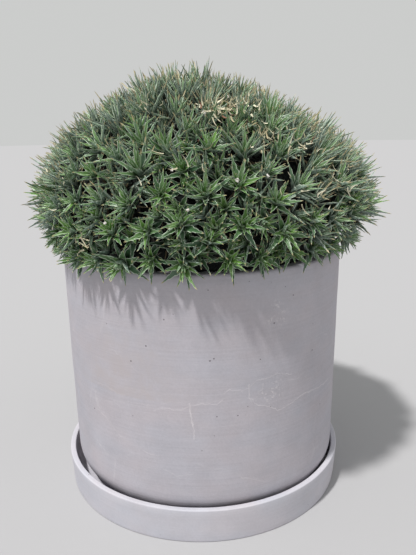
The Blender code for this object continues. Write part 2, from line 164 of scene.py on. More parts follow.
class Flow:
    """What flows out of a node's socket. Arithmetic on it adds nodes to the same tree."""

    def __init__(self, socket):
        self.socket = socket

    def output(self, name):
        """Another output of the same node."""
        return Flow(self.socket.node.outputs[name])

    def calc(self, operation, *others, clamp=False):
        inputs = dict(enumerate((self, *others)))
        return add(self, "ShaderNodeMath", inputs, operation=operation, use_clamp=clamp)

    def __add__(self, other):
        return self.calc("ADD", other)

    def __sub__(self, other):
        return self.calc("SUBTRACT", other)

    def __rsub__(self, other):
        return add(self, "ShaderNodeMath", {0: other, 1: self}, operation="SUBTRACT")

    def __mul__(self, other):
        return self.calc("MULTIPLY", other)

    def __rtruediv__(self, other):
        return add(self, "ShaderNodeMath", {0: other, 1: self}, operation="DIVIDE")

    def __pow__(self, other):
        return self.calc("POWER", other)

    def at_least(self, other):
        return self.calc("MAXIMUM", other)

    def ramp(self, low, high, start=0.0, end=1.0):
        """Goes from low to high while this goes from start to end."""
        values = {"Value": self, "From Min": start, "From Max": end, "To Min": low, "To Max": high}
        return add(self, "ShaderNodeMapRange", values)

    def mix(self, a, b):
        """The colour that lies this share of the way from a to b."""
        return add(self, "ShaderNodeMix", {0: self, 6: a, 7: b}, data_type="RGBA").output(2)

    def tinted(self, by):
        """This colour times another."""
        inputs, kinds = {0: 1.0, 6: self, 7: by}, {"data_type": "RGBA", "blend_type": "MULTIPLY"}
        return add(self, "ShaderNodeMix", inputs, **kinds).output(2)

    def grey(self):
        inputs = {"Red": self, "Green": self, "Blue": self}
        return add(self, "ShaderNodeCombineColor", inputs)


# %% Nodes that are fed


def feed(node, inputs):
    """Links each socket to a flow, or sets it to a plain value."""
    for name, value in inputs.items():
        if isinstance(value, Flow):
            node.id_data.links.new(value.socket, node.inputs[name])
        else:
            node.inputs[name].default_value = value


def add(where, kind, inputs=None, **settings):
    """A new node in a tree, or in the tree of a flow. Gives its first output."""
    tree = where.socket.id_data if isinstance(where, Flow) else where
    made = tree.nodes.new(kind)
    for name, value in settings.items():
        setattr(made, name, value)
    feed(made, inputs or {})
    return Flow(made.outputs[0])


def relief(height, distance_mm, strength):
    """The normal that a bump of this height gives."""
    inputs = {"Height": height, "Distance": distance_mm * MM, "Strength": strength}
    return add(height, "ShaderNodeBump", inputs)


# %% [markdown]
# A turned form, such as a pot, is a profile that goes once round an axis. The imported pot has 48
# sides, which show on its outline from close by, so the pot and the saucer are turned again with
# 192 sides and rounder edges. A Screw modifier turns the profile. The mould of a cast pot leaves
# it very slightly uneven, and a little noise on the points gives the highlights that life.

# %% Profiles of the pot and the saucer
ROUND_STEPS = 192
RIM_Z, RIM_RADIUS, SIDE_RADIUS_LOW = 134.0, 75.0, 74.0
POT_BASE, POT_WALL, POT_FLOOR = 5.3, 6.0, 8.0
FOOT_ROUND, POT_FILLET, RIM_EDGE = 18.0, 8.0, 1.4
DRAIN_RADIUS, DRAIN_EDGE = 8.0, 0.8
SAUCER_HEIGHT, SAUCER_TOP_RADIUS, SAUCER_FOOT_RADIUS = 18.5, 78.5, 77.3
SAUCER_WALL, SAUCER_FLOOR, SAUCER_EDGE, SAUCER_FILLET = 3.0, 5.0, 0.6, 3.0
POT_SHIFT = Vector((1.0 * MM, 0.1 * MM, 0))


def arc(centre, radius, start, end, steps):
    angles = [math.radians(start + (end - start) * i / steps) for i in range(steps + 1)]
    return [(centre[0] + radius * math.cos(a), centre[1] + radius * math.sin(a)) for a in angles]


def evened(profile, longest=3.5):
    """The profile with points added, so that no stretch of it is longer than this."""
    found = [profile[0]]
    for point in profile[1:]:
        before = Vector(found[-1])
        parts = max(1, round((Vector(point) - before).length / longest))
        found += [tuple(before.lerp(Vector(point), (i + 1) / parts)) for i in range(parts)]
    return found


def pot_inner_radius(height):
    share = (height - POT_BASE) / (RIM_Z - POT_BASE)
    return SIDE_RADIUS_LOW + (RIM_RADIUS - SIDE_RADIUS_LOW) * share - POT_WALL


def pot_profile():
    floor_z = POT_BASE + POT_FLOOR
    inner_low = (pot_inner_radius(floor_z) - POT_FILLET, floor_z + POT_FILLET)
    drain = DRAIN_RADIUS + DRAIN_EDGE
    profile = [(drain, floor_z)]
    profile += arc(inner_low, POT_FILLET, -90, 0, 8)
    profile += arc((RIM_RADIUS - POT_WALL + RIM_EDGE, RIM_Z - RIM_EDGE), RIM_EDGE, 180, 90, 5)
    profile += arc((RIM_RADIUS - RIM_EDGE, RIM_Z - RIM_EDGE), RIM_EDGE, 90, 0, 5)
    foot = (SIDE_RADIUS_LOW - FOOT_ROUND, POT_BASE + FOOT_ROUND)
    profile += arc(foot, FOOT_ROUND, 0, -90, 14)
    profile += arc((drain, POT_BASE + DRAIN_EDGE), DRAIN_EDGE, -90, -180, 3)
    profile += arc((drain, floor_z - DRAIN_EDGE), DRAIN_EDGE, 180, 90, 3)[:-1]
    return evened(profile), True


def saucer_profile():
    edge = SAUCER_EDGE
    inner_top = SAUCER_TOP_RADIUS - SAUCER_WALL
    inner_foot = SAUCER_FOOT_RADIUS - SAUCER_WALL - SAUCER_FILLET
    profile = [(0, SAUCER_FLOOR)]
    profile += arc((inner_foot, SAUCER_FLOOR + SAUCER_FILLET), SAUCER_FILLET, -90, 0, 6)
    profile += arc((inner_top + edge, SAUCER_HEIGHT - edge), edge, 180, 90, 5)
    profile += arc((SAUCER_TOP_RADIUS - edge, SAUCER_HEIGHT - edge), edge, 90, 0, 5)
    profile += arc((SAUCER_FOOT_RADIUS - edge, edge), edge, 0, -90, 5)
    profile.append((0, 0))
    return evened(profile), False


print("profiles:", len(pot_profile()[0]), "and", len(saucer_profile()[0]), "points")

# %% Turn them


def mesh_object(name, points, edges=(), faces=()):
    mesh = bpy.data.meshes.new(name)
    mesh.from_pydata(points, edges, faces)
    return bpy.data.objects.new(name, mesh)


def turned(name, profile, closed, uneven):
    """A solid of revolution from a profile in millimetres, its surface uneven by this much."""
    count = len(profile)
    edges = [(i, (i + 1) % count) for i in range(count if closed else count - 1)]
    made = mesh_object(name, [(r * MM, 0, z * MM) for r, z in profile], edges)
    bpy.context.scene.collection.objects.link(made)
    screw = made.modifiers.new("turn", "SCREW")
    screw.steps = screw.render_steps = ROUND_STEPS
    screw.use_merge_vertices = True
    screw.merge_threshold = 0.00001
    as_mesh(made)
    for vertex in made.data.vertices:
        x, y, z = vertex.co
        swelling = noise.noise(Vector((x, y, z * 1.7)) * 34) + 0.4 * noise.noise(vertex.co * 120)
        out = Vector((x, y, 0))
        if z > 2 * MM and out.length > 10 * MM:
            vertex.co += out.normalized() * swelling * uneven * MM
    for polygon in made.data.polygons:
        polygon.use_smooth = True
    return made


def as_mesh(made):
    """Turns the result of an object's modifiers into its plain mesh."""
    graph = bpy.context.evaluated_depsgraph_get()
    mesh = bpy.data.meshes.new_from_object(made.evaluated_get(graph))
    made.modifiers.clear()
    made.data = mesh


cast_pot = turned("cast_pot", *pot_profile(), uneven=0.22)
cast_pot.data.transform(Matrix.Translation(POT_SHIFT))
cast_saucer = turned("cast_saucer", *saucer_profile(), uneven=0.14)
print("turned:", len(cast_pot.data.polygons), "and", len(cast_saucer.data.polygons), "faces")

# %% [markdown]
# Cast concrete is not one grey. It has cloudy mottling, a faint pink and a faint cool side, fine
# level lines from the sponge that went round it, pale veins where the mix set late, and pinholes
# left by air. Each of these is a procedural texture of its own size. They sit in one node group,
# because the pot and the saucer share the effect and only differ in how strongly they show it.

# %% New node groups
FLOAT, COLOUR, VECTOR = "NodeSocketFloat", "NodeSocketColor", "NodeSocketVector"
GEOMETRY, COLLECTION = "NodeSocketGeometry", "NodeSocketCollection"
MATERIAL = "NodeSocketMaterial"
PLAIN = {float: FLOAT, int: "NodeSocketInt", tuple: COLOUR}


def new_group(name, kind, inputs, outputs):
    """A node group: its tree, the flows given to it and its output node.

    An input has a plain value, or the type of socket that has none. An output has its type.
    """
    tree = bpy.data.node_groups.new(name, kind)
    for label, value in inputs.items():
        kind_of_socket = PLAIN.get(type(value), value)
        socket = tree.interface.new_socket(label, in_out="INPUT", socket_type=kind_of_socket)
        if kind_of_socket != value:
            socket.default_value = value
    for label, kind_of_socket in outputs.items():
        tree.interface.new_socket(label, in_out="OUTPUT", socket_type=kind_of_socket)
    given = tree.nodes.new("NodeGroupInput")
    flows = {label: Flow(given.outputs[label]) for label in inputs}
    return tree, flows, tree.nodes.new("NodeGroupOutput")


# %% The concrete node group
MID_TONE = (0.5, 0.47, 0.5, 1)
WARM, COOL = (1.025, 0.993, 0.99, 1), (0.985, 0.995, 1.015, 1)
VEIN_COLOUR, PINHOLE_COLOUR = (0.72, 0.69, 0.70, 1), (0.12, 0.105, 0.11, 1)
BLOTCH_MM, HUE_MM, MOTTLE_MM, LINE_MM, GRIT_MM = 46, 27, 11, 2.4, 1.1
LEVEL_LINES, HUE_BANDS = (0.05, 0.05, 2.2), (1.0, 1.0, 1.6)
VEIN_SPACING_MM, VEIN_PATCH_MM, VEIN_BEND_MM, VEIN_BEND, VEIN_SHOWS = 44, 33, 17, 0.011, 0.34
PINHOLE_SPACING_MM, PINHOLE_SHOWS = 5.5, 0.72


def cloud(place, size_mm, detail=3.0, rough=0.55):
    """Noise whose blotches are about this large."""
    values = {"Vector": place, "Scale": 1000.0 / size_mm, "Detail": detail, "Roughness": rough}
    return add(place, "ShaderNodeTexNoise", values)


def stretched(place, scale):
    """The place, squeezed along each axis by these factors."""
    return add(place, "ShaderNodeMapping", {"Vector": place, "Scale": scale})


def concrete_group():
    inputs = {"Place": VECTOR, "Tone": MID_TONE, "Mottle": 1.0, "Veins": 1.0, "Pinholes": 1.0}
    outputs = {"Colour": COLOUR, "Height": FLOAT, "Roughness": FLOAT}
    tree, given, result = new_group("cast concrete", "ShaderNodeTree", inputs, outputs)
    place = given["Place"]
    middle, fine = cloud(place, MOTTLE_MM, 5.0, 0.62), cloud(place, GRIT_MM, 3.0, 0.7)
    lines = cloud(stretched(place, LEVEL_LINES), LINE_MM, 4.0, 0.7)
    shade = (cloud(place, BLOTCH_MM, 4.0) - 0.5) * 0.18 + 1.0
    for pattern, strength in ((middle, 0.20), (lines, 0.20), (fine, 0.22)):
        shade = (pattern - 0.5) * strength + shade
    hue = cloud(stretched(place, HUE_BANDS), HUE_MM, 2.0).ramp(0.0, 1.0, 0.35, 0.68)
    shade = given["Mottle"].ramp(1.0, shade)
    toned = given["Tone"].tinted(hue.mix(COOL, WARM)).tinted(shade.grey())

    shift = cloud(place, VEIN_BEND_MM, 3.0, 0.6) * VEIN_BEND
    shift = add(tree, "ShaderNodeCombineXYZ", {0: shift, 1: shift, 2: shift})
    bent = add(tree, "ShaderNodeVectorMath", {0: place, 1: shift}, operation="ADD")
    cells = {"Vector": bent, "Scale": 1000.0 / VEIN_SPACING_MM}
    crack = add(tree, "ShaderNodeTexVoronoi", cells, feature="DISTANCE_TO_EDGE")
    where = cloud(place, VEIN_PATCH_MM, 2.0).ramp(0.0, 0.7, 0.54, 0.62)
    vein = crack.ramp(1.0, 0.0, 0.003, 0.014) * where * given["Veins"]
    vein = vein.calc("MULTIPLY", middle.ramp(0.25, 1.0, 0.4, 0.6), clamp=True)
    toned = (vein * VEIN_SHOWS).mix(toned, VEIN_COLOUR)

    cells = {"Vector": place, "Scale": 1000.0 / PINHOLE_SPACING_MM}
    dots = add(tree, "ShaderNodeTexVoronoi", cells)
    few = add(tree, "ShaderNodeSeparateColor", {0: dots.output("Color")})
    pin = dots.calc("LESS_THAN", few.ramp(0.0, 0.075, 0.5, 1.0)) * given["Pinholes"]
    toned = (pin * PINHOLE_SHOWS).mix(toned, PINHOLE_COLOUR)

    height = middle * 0.35 + fine * 0.28
    for pattern, share in ((lines, 0.45), (vein, 0.25), (pin, -1.6)):
        height = pattern * share + height
    uneven = middle.ramp(0.74, 0.95, 0.3, 0.7)
    feed(result, {"Colour": toned, "Height": height, "Roughness": uneven})
    return tree


CONCRETE = concrete_group()
print("concrete group:", len(CONCRETE.nodes), "nodes")

# %% [markdown]
# Some marks on the front of the pot are its own: a vein like a T, a loop of fine cracks with
# scratches in it, a faint tide line, and a few dark pinholes. Each is given by pixels. The line of
# sight through a pixel is followed to the pot's side, and the side is unrolled there to a distance
# across and a height. A vein is then a curve through a few such points, and the shader marks what
# lies close to it. One vein runs upright, so for it the two directions change places.

# %% The pot's own marks
POT_SIDE_RADIUS = 74.6 * MM
VEINS = (
    (0.10, ((104, 401), (128, 402), (154, 406), (172, 402),
            (189, 405), (207, 403), (222, 400), (236, 393))),
    (0.30, ((154, 411), (162, 408), (180, 411), (189, 407), (203, 404), (217, 405), (222, 401))),
    (0.30, ((224, 394), (229, 390), (241, 391), (248, 389),
            (256, 381), (269, 378), (278, 373), (291, 375))),
    (0.44, ((250, 398), (258, 405), (273, 408), (278, 411),
            (291, 404), (303, 394), (320, 387), (328, 379))),
    (0.16, ((98, 383), (105, 385), (115, 392), (124, 395))),
    (0.20, ((143, 451), (150, 455), (161, 456))),
    (0.16, ((163, 470), (177, 477), (193, 475))),
)
UPRIGHT_VEINS = (
    (0.62, ((189.5, 404), (190, 415), (193, 424), (194.5, 439))),
    (0.42, ((249, 385), (249, 391), (250, 399), (253, 404))),
)
TIDE_PIXEL, PINK_PIXEL = (190, 404), (120, 384)
PINK_REACH = 19.0 * MM
PITS = (
    (146, 346), (208, 290), (293, 295), (274, 323), (217, 417), (312, 350), (131, 361), (210, 361),
)
SCRATCHED = (
    ((277, 306), 4.0), ((281, 318), 6.0), ((271, 322), 4.0), ((272, 392), 9.0), ((305, 336), 2.0),
)
VEIN_CORE, VEIN_EDGE, PIT_RADIUS = 0.08 * MM, 0.50 * MM, 0.40 * MM
WOBBLE, TIDE_SOFTNESS = 2.2 * MM, 0.3 * MM
PINK, MARK_COLOUR = (0.450, 0.412, 0.428, 1), (0.70, 0.66, 0.68, 1)
PIT_COLOUR = (0.10, 0.09, 0.095, 1)
print(len(VEINS) + len(UPRIGHT_VEINS), "veins and", len(PITS), "pinholes of the pot's own")

# %% From a pixel to the unrolled side


def on_pot(pixel):
    """Where the line of sight through a pixel meets the pot's side, taken as a cylinder."""
    sight = line_of_sight(*pixel)
    eye = CAMERA_PLACE - POT_SHIFT
    a = sight.xy.length_squared
    b = eye.xy.dot(sight.xy)
    c = eye.xy.length_squared - POT_SIDE_RADIUS**2
    return CAMERA_PLACE + sight * ((-b - math.sqrt(b * b - a * c)) / a)


def unrolled(pixel):
    """The same place as a distance across the unrolled side and a height."""
    place = on_pot(pixel)
    return math.atan2(place.x, -place.y) * POT_SIDE_RADIUS, place.z


print("tide line:", round(unrolled(TIDE_PIXEL)[1] / MM, 1), "mm above the ground")

# %% From the unrolled side to colour and height


def far_from_curve(along, beside, points):
    """How far a place is from a curve that gives one coordinate, beside, for the other, along."""
    points = sorted(points)
    first, last = points[0][0], points[-1][0]
    low = min(point[1] for point in points)
    high = max(point[1] for point in points) + MM
    shares = [((a - first) / (last - first), (b - low) / (high - low)) for a, b in points]
    curve = add(along, "ShaderNodeFloatCurve", {"Value": along.ramp(0.0, 1.0, first, last)})
    mapping = curve.socket.node.mapping
    line = mapping.curves[0]
    line.points[0].location, line.points[1].location = shares[0], shares[-1]
    for share in shares[1:-1]:
        line.points.new(*share)
    for point in line.points:
        point.handle_type = "VECTOR"
    mapping.update()
    gap = (beside - curve.ramp(low, high)).calc("ABSOLUTE")
    return gap.at_least((first - along).at_least(along - last))


def far_from(place, pixel):
    inputs = {0: place, 1: on_pot(pixel)}
    return add(place, "ShaderNodeVectorMath", inputs, operation="DISTANCE").output("Value")


def pot_marks(place, colour, height):
    """The pot's colour and height with its own veins, scratches, tide line and pinholes."""
    wobble = (cloud(place, 2.4) - 0.5) * WOBBLE
    split = add(place, "ShaderNodeSeparateXYZ", {0: place})
    angle = split.calc("ARCTAN2", split.output("Y") * -1.0)
    across, up = angle * POT_SIDE_RADIUS + wobble, split.output("Z") + wobble
    pale = 0.0
    for strength, pixels in VEINS:
        far = far_from_curve(across, up, [unrolled(pixel) for pixel in pixels])
        pale = far.ramp(strength, 0.0, VEIN_CORE, VEIN_EDGE).at_least(pale)
    for strength, pixels in UPRIGHT_VEINS:
        far = far_from_curve(up, across, [unrolled(pixel)[::-1] for pixel in pixels])
        pale = far.ramp(strength, 0.0, VEIN_CORE, VEIN_EDGE).at_least(pale)
    pale = pale * cloud(place, 5.0, 2.0).ramp(0.4, 1.0, 0.35, 0.6)
    rough = 0.0
    for pixel, radius_mm in SCRATCHED:
        radius = radius_mm * MM
        rough = far_from(place, pixel).ramp(1.0, 0.0, radius * 0.4, radius).at_least(rough)
    pale = pale.at_least(rough * cloud(place, 1.5, 4.0, 0.65).ramp(0.0, 0.50, 0.52, 0.66))

    tide_z = unrolled(TIDE_PIXEL)[1]
    tide = up.ramp(0.0, 1.0, tide_z - TIDE_SOFTNESS, tide_z + TIDE_SOFTNESS)
    near = far_from(place, PINK_PIXEL).ramp(1.0, 0.15, 0.4 * PINK_REACH, 2 * PINK_REACH)
    pink = tide * near * cloud(place, 6.0, 4.0).ramp(0.2, 1.0, 0.35, 0.65)
    pit = 0.0
    for pixel in PITS:
        pit = far_from(place, pixel).calc("LESS_THAN", PIT_RADIUS).at_least(pit)
    colour = (pit * 0.7).mix(pale.mix(pink.mix(colour, PINK), MARK_COLOUR), PIT_COLOUR)
    return colour, pit * -2.0 + (pale * 0.8 + height)


# %% Concrete on the pot and the saucer


def object_place(material):
    """Where a point lies in its object, for the procedural textures."""
    return add(material.node_tree, "ShaderNodeTexCoord").output("Object")


def concrete(name, bump_mm, marks=None, **strengths):
    made = shader_material(name, Specular_IOR_Level=0.35)
    place = object_place(made)
    colour = add(place, "ShaderNodeGroup", {"Place": place, **strengths}, node_tree=CONCRETE)
    height, roughness = colour.output("Height"), colour.output("Roughness")
    if marks:
        colour, height = marks(place, colour, height)
    normal = relief(height, bump_mm, 0.9)
    feed(surface_of(made), {"Base Color": colour, "Roughness": roughness, "Normal": normal})
    return made


POT_LOOK = {"Tone": (0.446, 0.430, 0.466, 1), "Mottle": 1.0, "Veins": 0.8, "Pinholes": 1.0}
SAUCER_LOOK = {"Tone": (0.530, 0.524, 0.566, 1), "Mottle": 0.8, "Veins": 0.4, "Pinholes": 0.6}
cast_pot.data.materials.append(concrete("pot concrete", 0.16, pot_marks, **POT_LOOK))
cast_saucer.data.materials.append(concrete("saucer concrete", 0.13, **SAUCER_LOOK))
for piece, node in ((cast_pot, "pot"), (cast_saucer, "saucer")):
    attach(piece, "root")
    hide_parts(node)
print("concrete is on the pot and the saucer")

# %% [markdown]
# The cushion is a rule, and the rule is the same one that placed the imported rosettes. Its surface
# is a dome that draws in again towards the rim, with a dozen swells and furrows. Rosettes start
# on an even spiral, are shaken, and then push one another apart until they are evenly packed.
# With the same numbers and the same seed, each finer rosette lands on its plain twin.

# %% The cushion's surface
CUSHION_RADIUS, CUSHION_WIDEST_Z = 92.5 * MM, 158.0 * MM
CUSHION_RISE, CUSHION_DROP = 66.0 * MM, 46.0 * MM
UPPER_POWER, LOWER_POWER = 1.65, 2.0
SURELY_INSIDE, SURELY_OUTSIDE, HALVINGS = 68.0 * MM, 200.0 * MM, 26
TIP_RISE = 9.0 * MM
GROWTH_CENTRE = Vector((0, 0, 120.0 * MM))
SWELLS = (
    (-78.0, 52.0, 12.0, -0.045),
    (-118.0, 30.0, 13.0, -0.035),
    (-165.0, 24.0, 22.0, -0.03),
    (-150.0, 66.0, 20.0, 0.03),
    (-10.0, 2.0, 20.0, 0.025),
    (0.0, 42.0, 23.0, -0.055),
    (180.0, 46.0, 14.0, 0.035),
    (180.0, -7.0, 14.0, -0.055),
    (-30.0, 60.0, 16.0, -0.03),
    (40.0, 48.0, 15.0, -0.04),
    (100.0, 35.0, 18.0, 0.03),
    (150.0, 50.0, 14.0, -0.04),
)


def towards(azimuth, elevation):
    flat = math.cos(elevation)
    return Vector((math.cos(azimuth) * flat, math.sin(azimuth) * flat, math.sin(elevation)))


SWELL_AXES = [
    (towards(math.radians(azimuth), math.radians(elevation)), width, height)
    for azimuth, elevation, width, height in SWELLS
]


def swell(direction):
    total = 1.0
    for axis, width, height in SWELL_AXES:
        angle = math.degrees(axis.angle(direction))
        total += height * math.exp(-0.5 * (angle / width) ** 2)
    return total


def outside(point, depth):
    """Below 0 inside the surface that lies this deep under the leaf tips."""
    offset = point - Vector((0, 0, CUSHION_WIDEST_Z))
    offset = offset / swell(offset)
    above = offset.z > 0
    tall, power = (CUSHION_RISE - depth, UPPER_POWER) if above else (CUSHION_DROP, LOWER_POWER)
    level = (math.hypot(offset.x, offset.y) / (CUSHION_RADIUS - depth)) ** power
    return level + (abs(offset.z) / tall) ** power - 1.0


def reach(origin, direction, depth):
    near, far = SURELY_INSIDE, SURELY_OUTSIDE
    for _ in range(HALVINGS):
        middle = (near + far) / 2
        if outside(origin + direction * middle, depth) < 0:
            near = middle
        else:
            far = middle
    return near


def on_cushion(direction, depth=TIP_RISE):
    return GROWTH_CENTRE + direction * reach(GROWTH_CENTRE, direction, depth)


print("top of the cushion:", round(on_cushion(Vector((0, 0, 1)), 0).z / MM, 1), "mm")

# %% Where the rosettes stand
HEM_ROSETTES, UPPER_ROSETTES, BRANCHES = 34, 186, 36
HEM_Z, HEM_WAVE = 141.6 * MM, 1.6 * MM
HEM_TOP = HEM_Z + 2 * HEM_WAVE
HEM_LEAST_RADIUS = 77.0 * MM
ABOVE_HEM, BRANCH_TURN = 6.0, 0.6
HEM_SHAKE, UPPER_SHAKE = 0.15, 0.08
ROSETTE_SPACING, ROSETTE_INSET = 16.5 * MM, 2.6 * MM
SETTLE_ROUNDS, SETTLE_PUSH = 22, 0.2
CROWN = Vector((0, 0, 93.0 * MM))
GOLDEN_ANGLE = math.pi * (3 - math.sqrt(5))


def even_directions(count, turn):
    hem = math.degrees(math.atan2(HEM_Z - GROWTH_CENTRE.z, CUSHION_RADIUS - TIP_RISE))
    lowest = hem + ABOVE_HEM
    rings = 240
    lifts = [math.radians(lowest + (90 - lowest) * (i + 0.5) / rings) for i in range(rings)]
    middles = [on_cushion(towards(0, lift)) for lift in lifts]
    areas = []
    for i, middle in enumerate(middles):
        before, after = middles[max(i - 1, 0)], middles[min(i + 1, rings - 1)]
        areas.append(middle.x * (after - before).length)
    found, passed, ring = [], 0.0, 0
    for i in range(count):
        while passed + areas[ring] < sum(areas) * (i + 0.5) / count:
            passed += areas[ring]
            ring += 1
        found.append(towards(turn + i * GOLDEN_ANGLE, lifts[ring]))
    return found


def cell_planes(axes, index):
    own = axes[index]
    return [(own - other).normalized() for i, other in enumerate(axes) if i != index]


def nearest_branch(point, axes):
    direction = point - CROWN
    return max(range(len(axes)), key=lambda i: direction.dot(axes[i]))


def on_level(point, height):
    out = Vector((point.x, point.y, 0)).normalized()
    origin = Vector((0, 0, height))
    return origin + out * max(reach(origin, out, TIP_RISE), HEM_LEAST_RADIUS)


# %% Let the rosettes settle


def place_rosettes(draw, axes):
    points, heights = [], []
    for i in range(HEM_ROSETTES):
        a = math.tau * (i + draw.uniform(-HEM_SHAKE, HEM_SHAKE)) / HEM_ROSETTES
        heights.append(HEM_Z + draw.uniform(-1, 1) * HEM_WAVE)
        points.append(on_level(towards(a, 0), heights[i]))
    for direction in even_directions(UPPER_ROSETTES, 0.0):
        shake = Vector([draw.uniform(-UPPER_SHAKE, UPPER_SHAKE) for _ in range(3)])
        points.append(on_cushion((direction + shake).normalized()))
    planes = [cell_planes(axes, i) for i in range(len(axes))]
    for _ in range(SETTLE_ROUNDS):
        pushes = [Vector((0, 0, 0)) for _ in points]
        for i, a in enumerate(points):
            for j in range(i):
                apart = a - points[j]
                short = ROSETTE_SPACING - apart.length
                if short > 0:
                    push = apart.normalized() * short * SETTLE_PUSH
                    pushes[i] += push
                    pushes[j] -= push
        for i, push in enumerate(pushes):
            point = points[i] + push
            for normal in planes[nearest_branch(point, axes)]:
                short = ROSETTE_INSET - (point - CROWN).dot(normal)
                if short > 0:
                    point = point + normal * short
            if i < HEM_ROSETTES:
                points[i] = on_level(point, heights[i])
            else:
                points[i] = on_cushion((point - GROWTH_CENTRE).normalized())
    return points


draw = random.Random(11)
branch_axes = [
    (on_cushion(direction) - CROWN).normalized()
    for direction in even_directions(BRANCHES, BRANCH_TURN)
]
centres = place_rosettes(draw, branch_axes)
owner = [nearest_branch(centre, branch_axes) for centre in centres]
print(len(centres), "rosettes on", len(set(owner)), "branches")

# %% How each rosette faces, turns and has grown
HEM_DROOP, HEM_SIZE, LEAN = 0.28, 0.88, math.radians(14.0)
HEM_TUCKS = ((197.0, 34.0, 0.40), (-5.0, 26.0, 0.36))
SMALLEST, LARGEST = 0.85, 1.2
DRAWS_FOR_PLAIN_LEAVES = 15


def grown_size(centre):
    """Less than 1 at the hem, and least at the two sides where the hem is tucked in."""
    if centre.z > HEM_TOP:
        return 1.0
    size = HEM_SIZE
    for middle, width, share in HEM_TUCKS:
        apart = (math.degrees(math.atan2(centre.y, centre.x)) - middle + 180) % 360 - 180
        size -= share * math.exp(-0.5 * (apart / width) ** 2)
    return size


def rosette_facts():
    """For each branch, its rosettes as (centre, facing, size, turn, hem), as in the solids."""
    found = [[] for _ in range(BRANCHES)]
    for branch in range(BRANCHES):
        for i, centre in enumerate(centres):
            if owner[i] != branch:
                continue
            hem = centre.z < HEM_TOP
            facing = (centre - GROWTH_CENTRE).normalized()
            if hem:
                facing.z -= HEM_DROOP
            lean = Vector([draw.uniform(-1, 1) for _ in range(3)]) * math.tan(LEAN)
            size = draw.uniform(SMALLEST, LARGEST) * grown_size(centre)
            turn = draw.uniform(0, math.tau)
            for _ in range(DRAWS_FOR_PLAIN_LEAVES):
                draw.random()
            found[branch].append((centre, (facing + lean).normalized(), size, turn, hem))
    return found


branches = rosette_facts()
print("largest branch has", max(len(rosettes) for rosettes in branches), "rosettes")

# %% [markdown]
# Real cushions leave no room between their rosettes: side shoots fill it. Each side shoot is tried
# at a couple of dozen random places and takes the one that is farthest from every rosette so far,
# which puts it in the largest gap. It stands a little deeper and leans more than its neighbours.

# %% Side shoots in the gaps
SIDE_SHOOTS, TRIES = 280, 22
SHOOT_DEPTHS = (TIP_RISE - 0.5 * MM, TIP_RISE + 3.0 * MM)
SHOOT_SIZES, SHOOT_LEAN = (0.7, 1.0), math.radians(36.0)
shoot_draw = random.Random(29)


def random_place():
    lowest = math.sin(math.atan2(HEM_Z - GROWTH_CENTRE.z, CUSHION_RADIUS - TIP_RISE))
    direction = towards(shoot_draw.uniform(0, math.tau), math.asin(shoot_draw.uniform(lowest, 1.0)))
    return on_cushion(direction, shoot_draw.uniform(*SHOOT_DEPTHS))


def room_around(place, taken):
    return min((place - other).length_squared for other in taken)


taken = [rosette[0] for rosettes in branches for rosette in rosettes]
shoots = [[] for _ in range(BRANCHES)]
for _ in range(SIDE_SHOOTS):
    place = max((random_place() for _ in range(TRIES)), key=lambda spot: room_around(spot, taken))
    taken.append(place)
    lean = Vector([shoot_draw.uniform(-1, 1) for _ in range(3)]) * math.tan(SHOOT_LEAN)
    facing = ((place - GROWTH_CENTRE).normalized() + lean).normalized()
    size, turn = shoot_draw.uniform(*SHOOT_SIZES), shoot_draw.uniform(0, math.tau)
    shoots[nearest_branch(place, branch_axes)].append((place, facing, size, turn, False))
print(SIDE_SHOOTS, "side shoots")

# %% [markdown]
# One leaf is a stiff, fleshy triangle about nine millimetres long, or more where a rosette is half
# closed. Its upper face is a shallow channel, its back has a keel, and its margins carry small
# hooked teeth that run up to a sharp end spine. Eight rings of four points are enough: every
# second ring stands out at the margin, which makes the teeth from the same faces as the blade.
# There are thousands of leaves, so each must stay this plain. Four shapes that bend differently
# keep the rosettes from looking stamped.

# %% Leaf shapes
LEAF_RINGS = 8
LEAF_HALF_WIDTH, LEAF_TAPER = 0.190, 1.2
LEAF_THICKNESS, TIP_THICKNESS, THINNING = 0.14, 0.008, 0.9
CHANNEL_DEPTH = 0.42
TOOTH, TOOTH_HOOK, TOOTH_SHRINK = 0.044, 0.04, 0.75
UV_STEPS = (0.0, 0.25, 0.5, 0.75, 1.0)


def pointed_tube(rings, sides):
    """The faces that join rings of points, close the last ring to a point, and cap the first."""
    faces = []
    for i in range(rings):
        for k in range(sides):
            a, b = sides * i + k, sides * i + (k + 1) % sides
            last = i + 1 == rings
            faces.append((a, sides * rings, b) if last else (a, a + sides, b + sides, b))
    return faces + [tuple(range(sides))]


def leaf_shape(name, bend, sway, tooth):
    """A leaf one unit long towards +X, its channel facing +Z."""
    points, corners = [], []
    for i in range(LEAF_RINGS):
        s = i / LEAF_RINGS
        half = LEAF_HALF_WIDTH * (1 - s) ** LEAF_TAPER
        toothed = i % 2
        out = half + tooth * (1 - TOOTH_SHRINK * s) * toothed
        x, y, z = s, sway * s * s, bend * s * s
        hook, lift = x + TOOTH_HOOK * toothed, CHANNEL_DEPTH * half
        thick = LEAF_THICKNESS * (1 - s) ** THINNING + TIP_THICKNESS
        points += [(hook, y - out, z + lift), (x, y, z), (hook, y + out, z + lift)]
        points.append((x, y, z - thick))
    points.append((1.0, sway, bend))
    for i in range(LEAF_RINGS):
        low, high = i / LEAF_RINGS, (i + 1) / LEAF_RINGS
        for u, v in zip(UV_STEPS, UV_STEPS[1:]):
            if i + 1 < LEAF_RINGS:
                corners += [(u, low), (u, high), (v, high), (v, low)]
            else:
                corners += [(u, low), ((u + v) / 2, high), (v, low)]
    corners += [(u, 0.0) for u in UV_STEPS[:4]]
    made = mesh_object(name, points, faces=pointed_tube(LEAF_RINGS, 4))
    layer = made.data.uv_layers.new(name="leaf map")
    for loop, corner in zip(layer.data, corners):
        loop.uv = corner
    made.data.update()
    return made


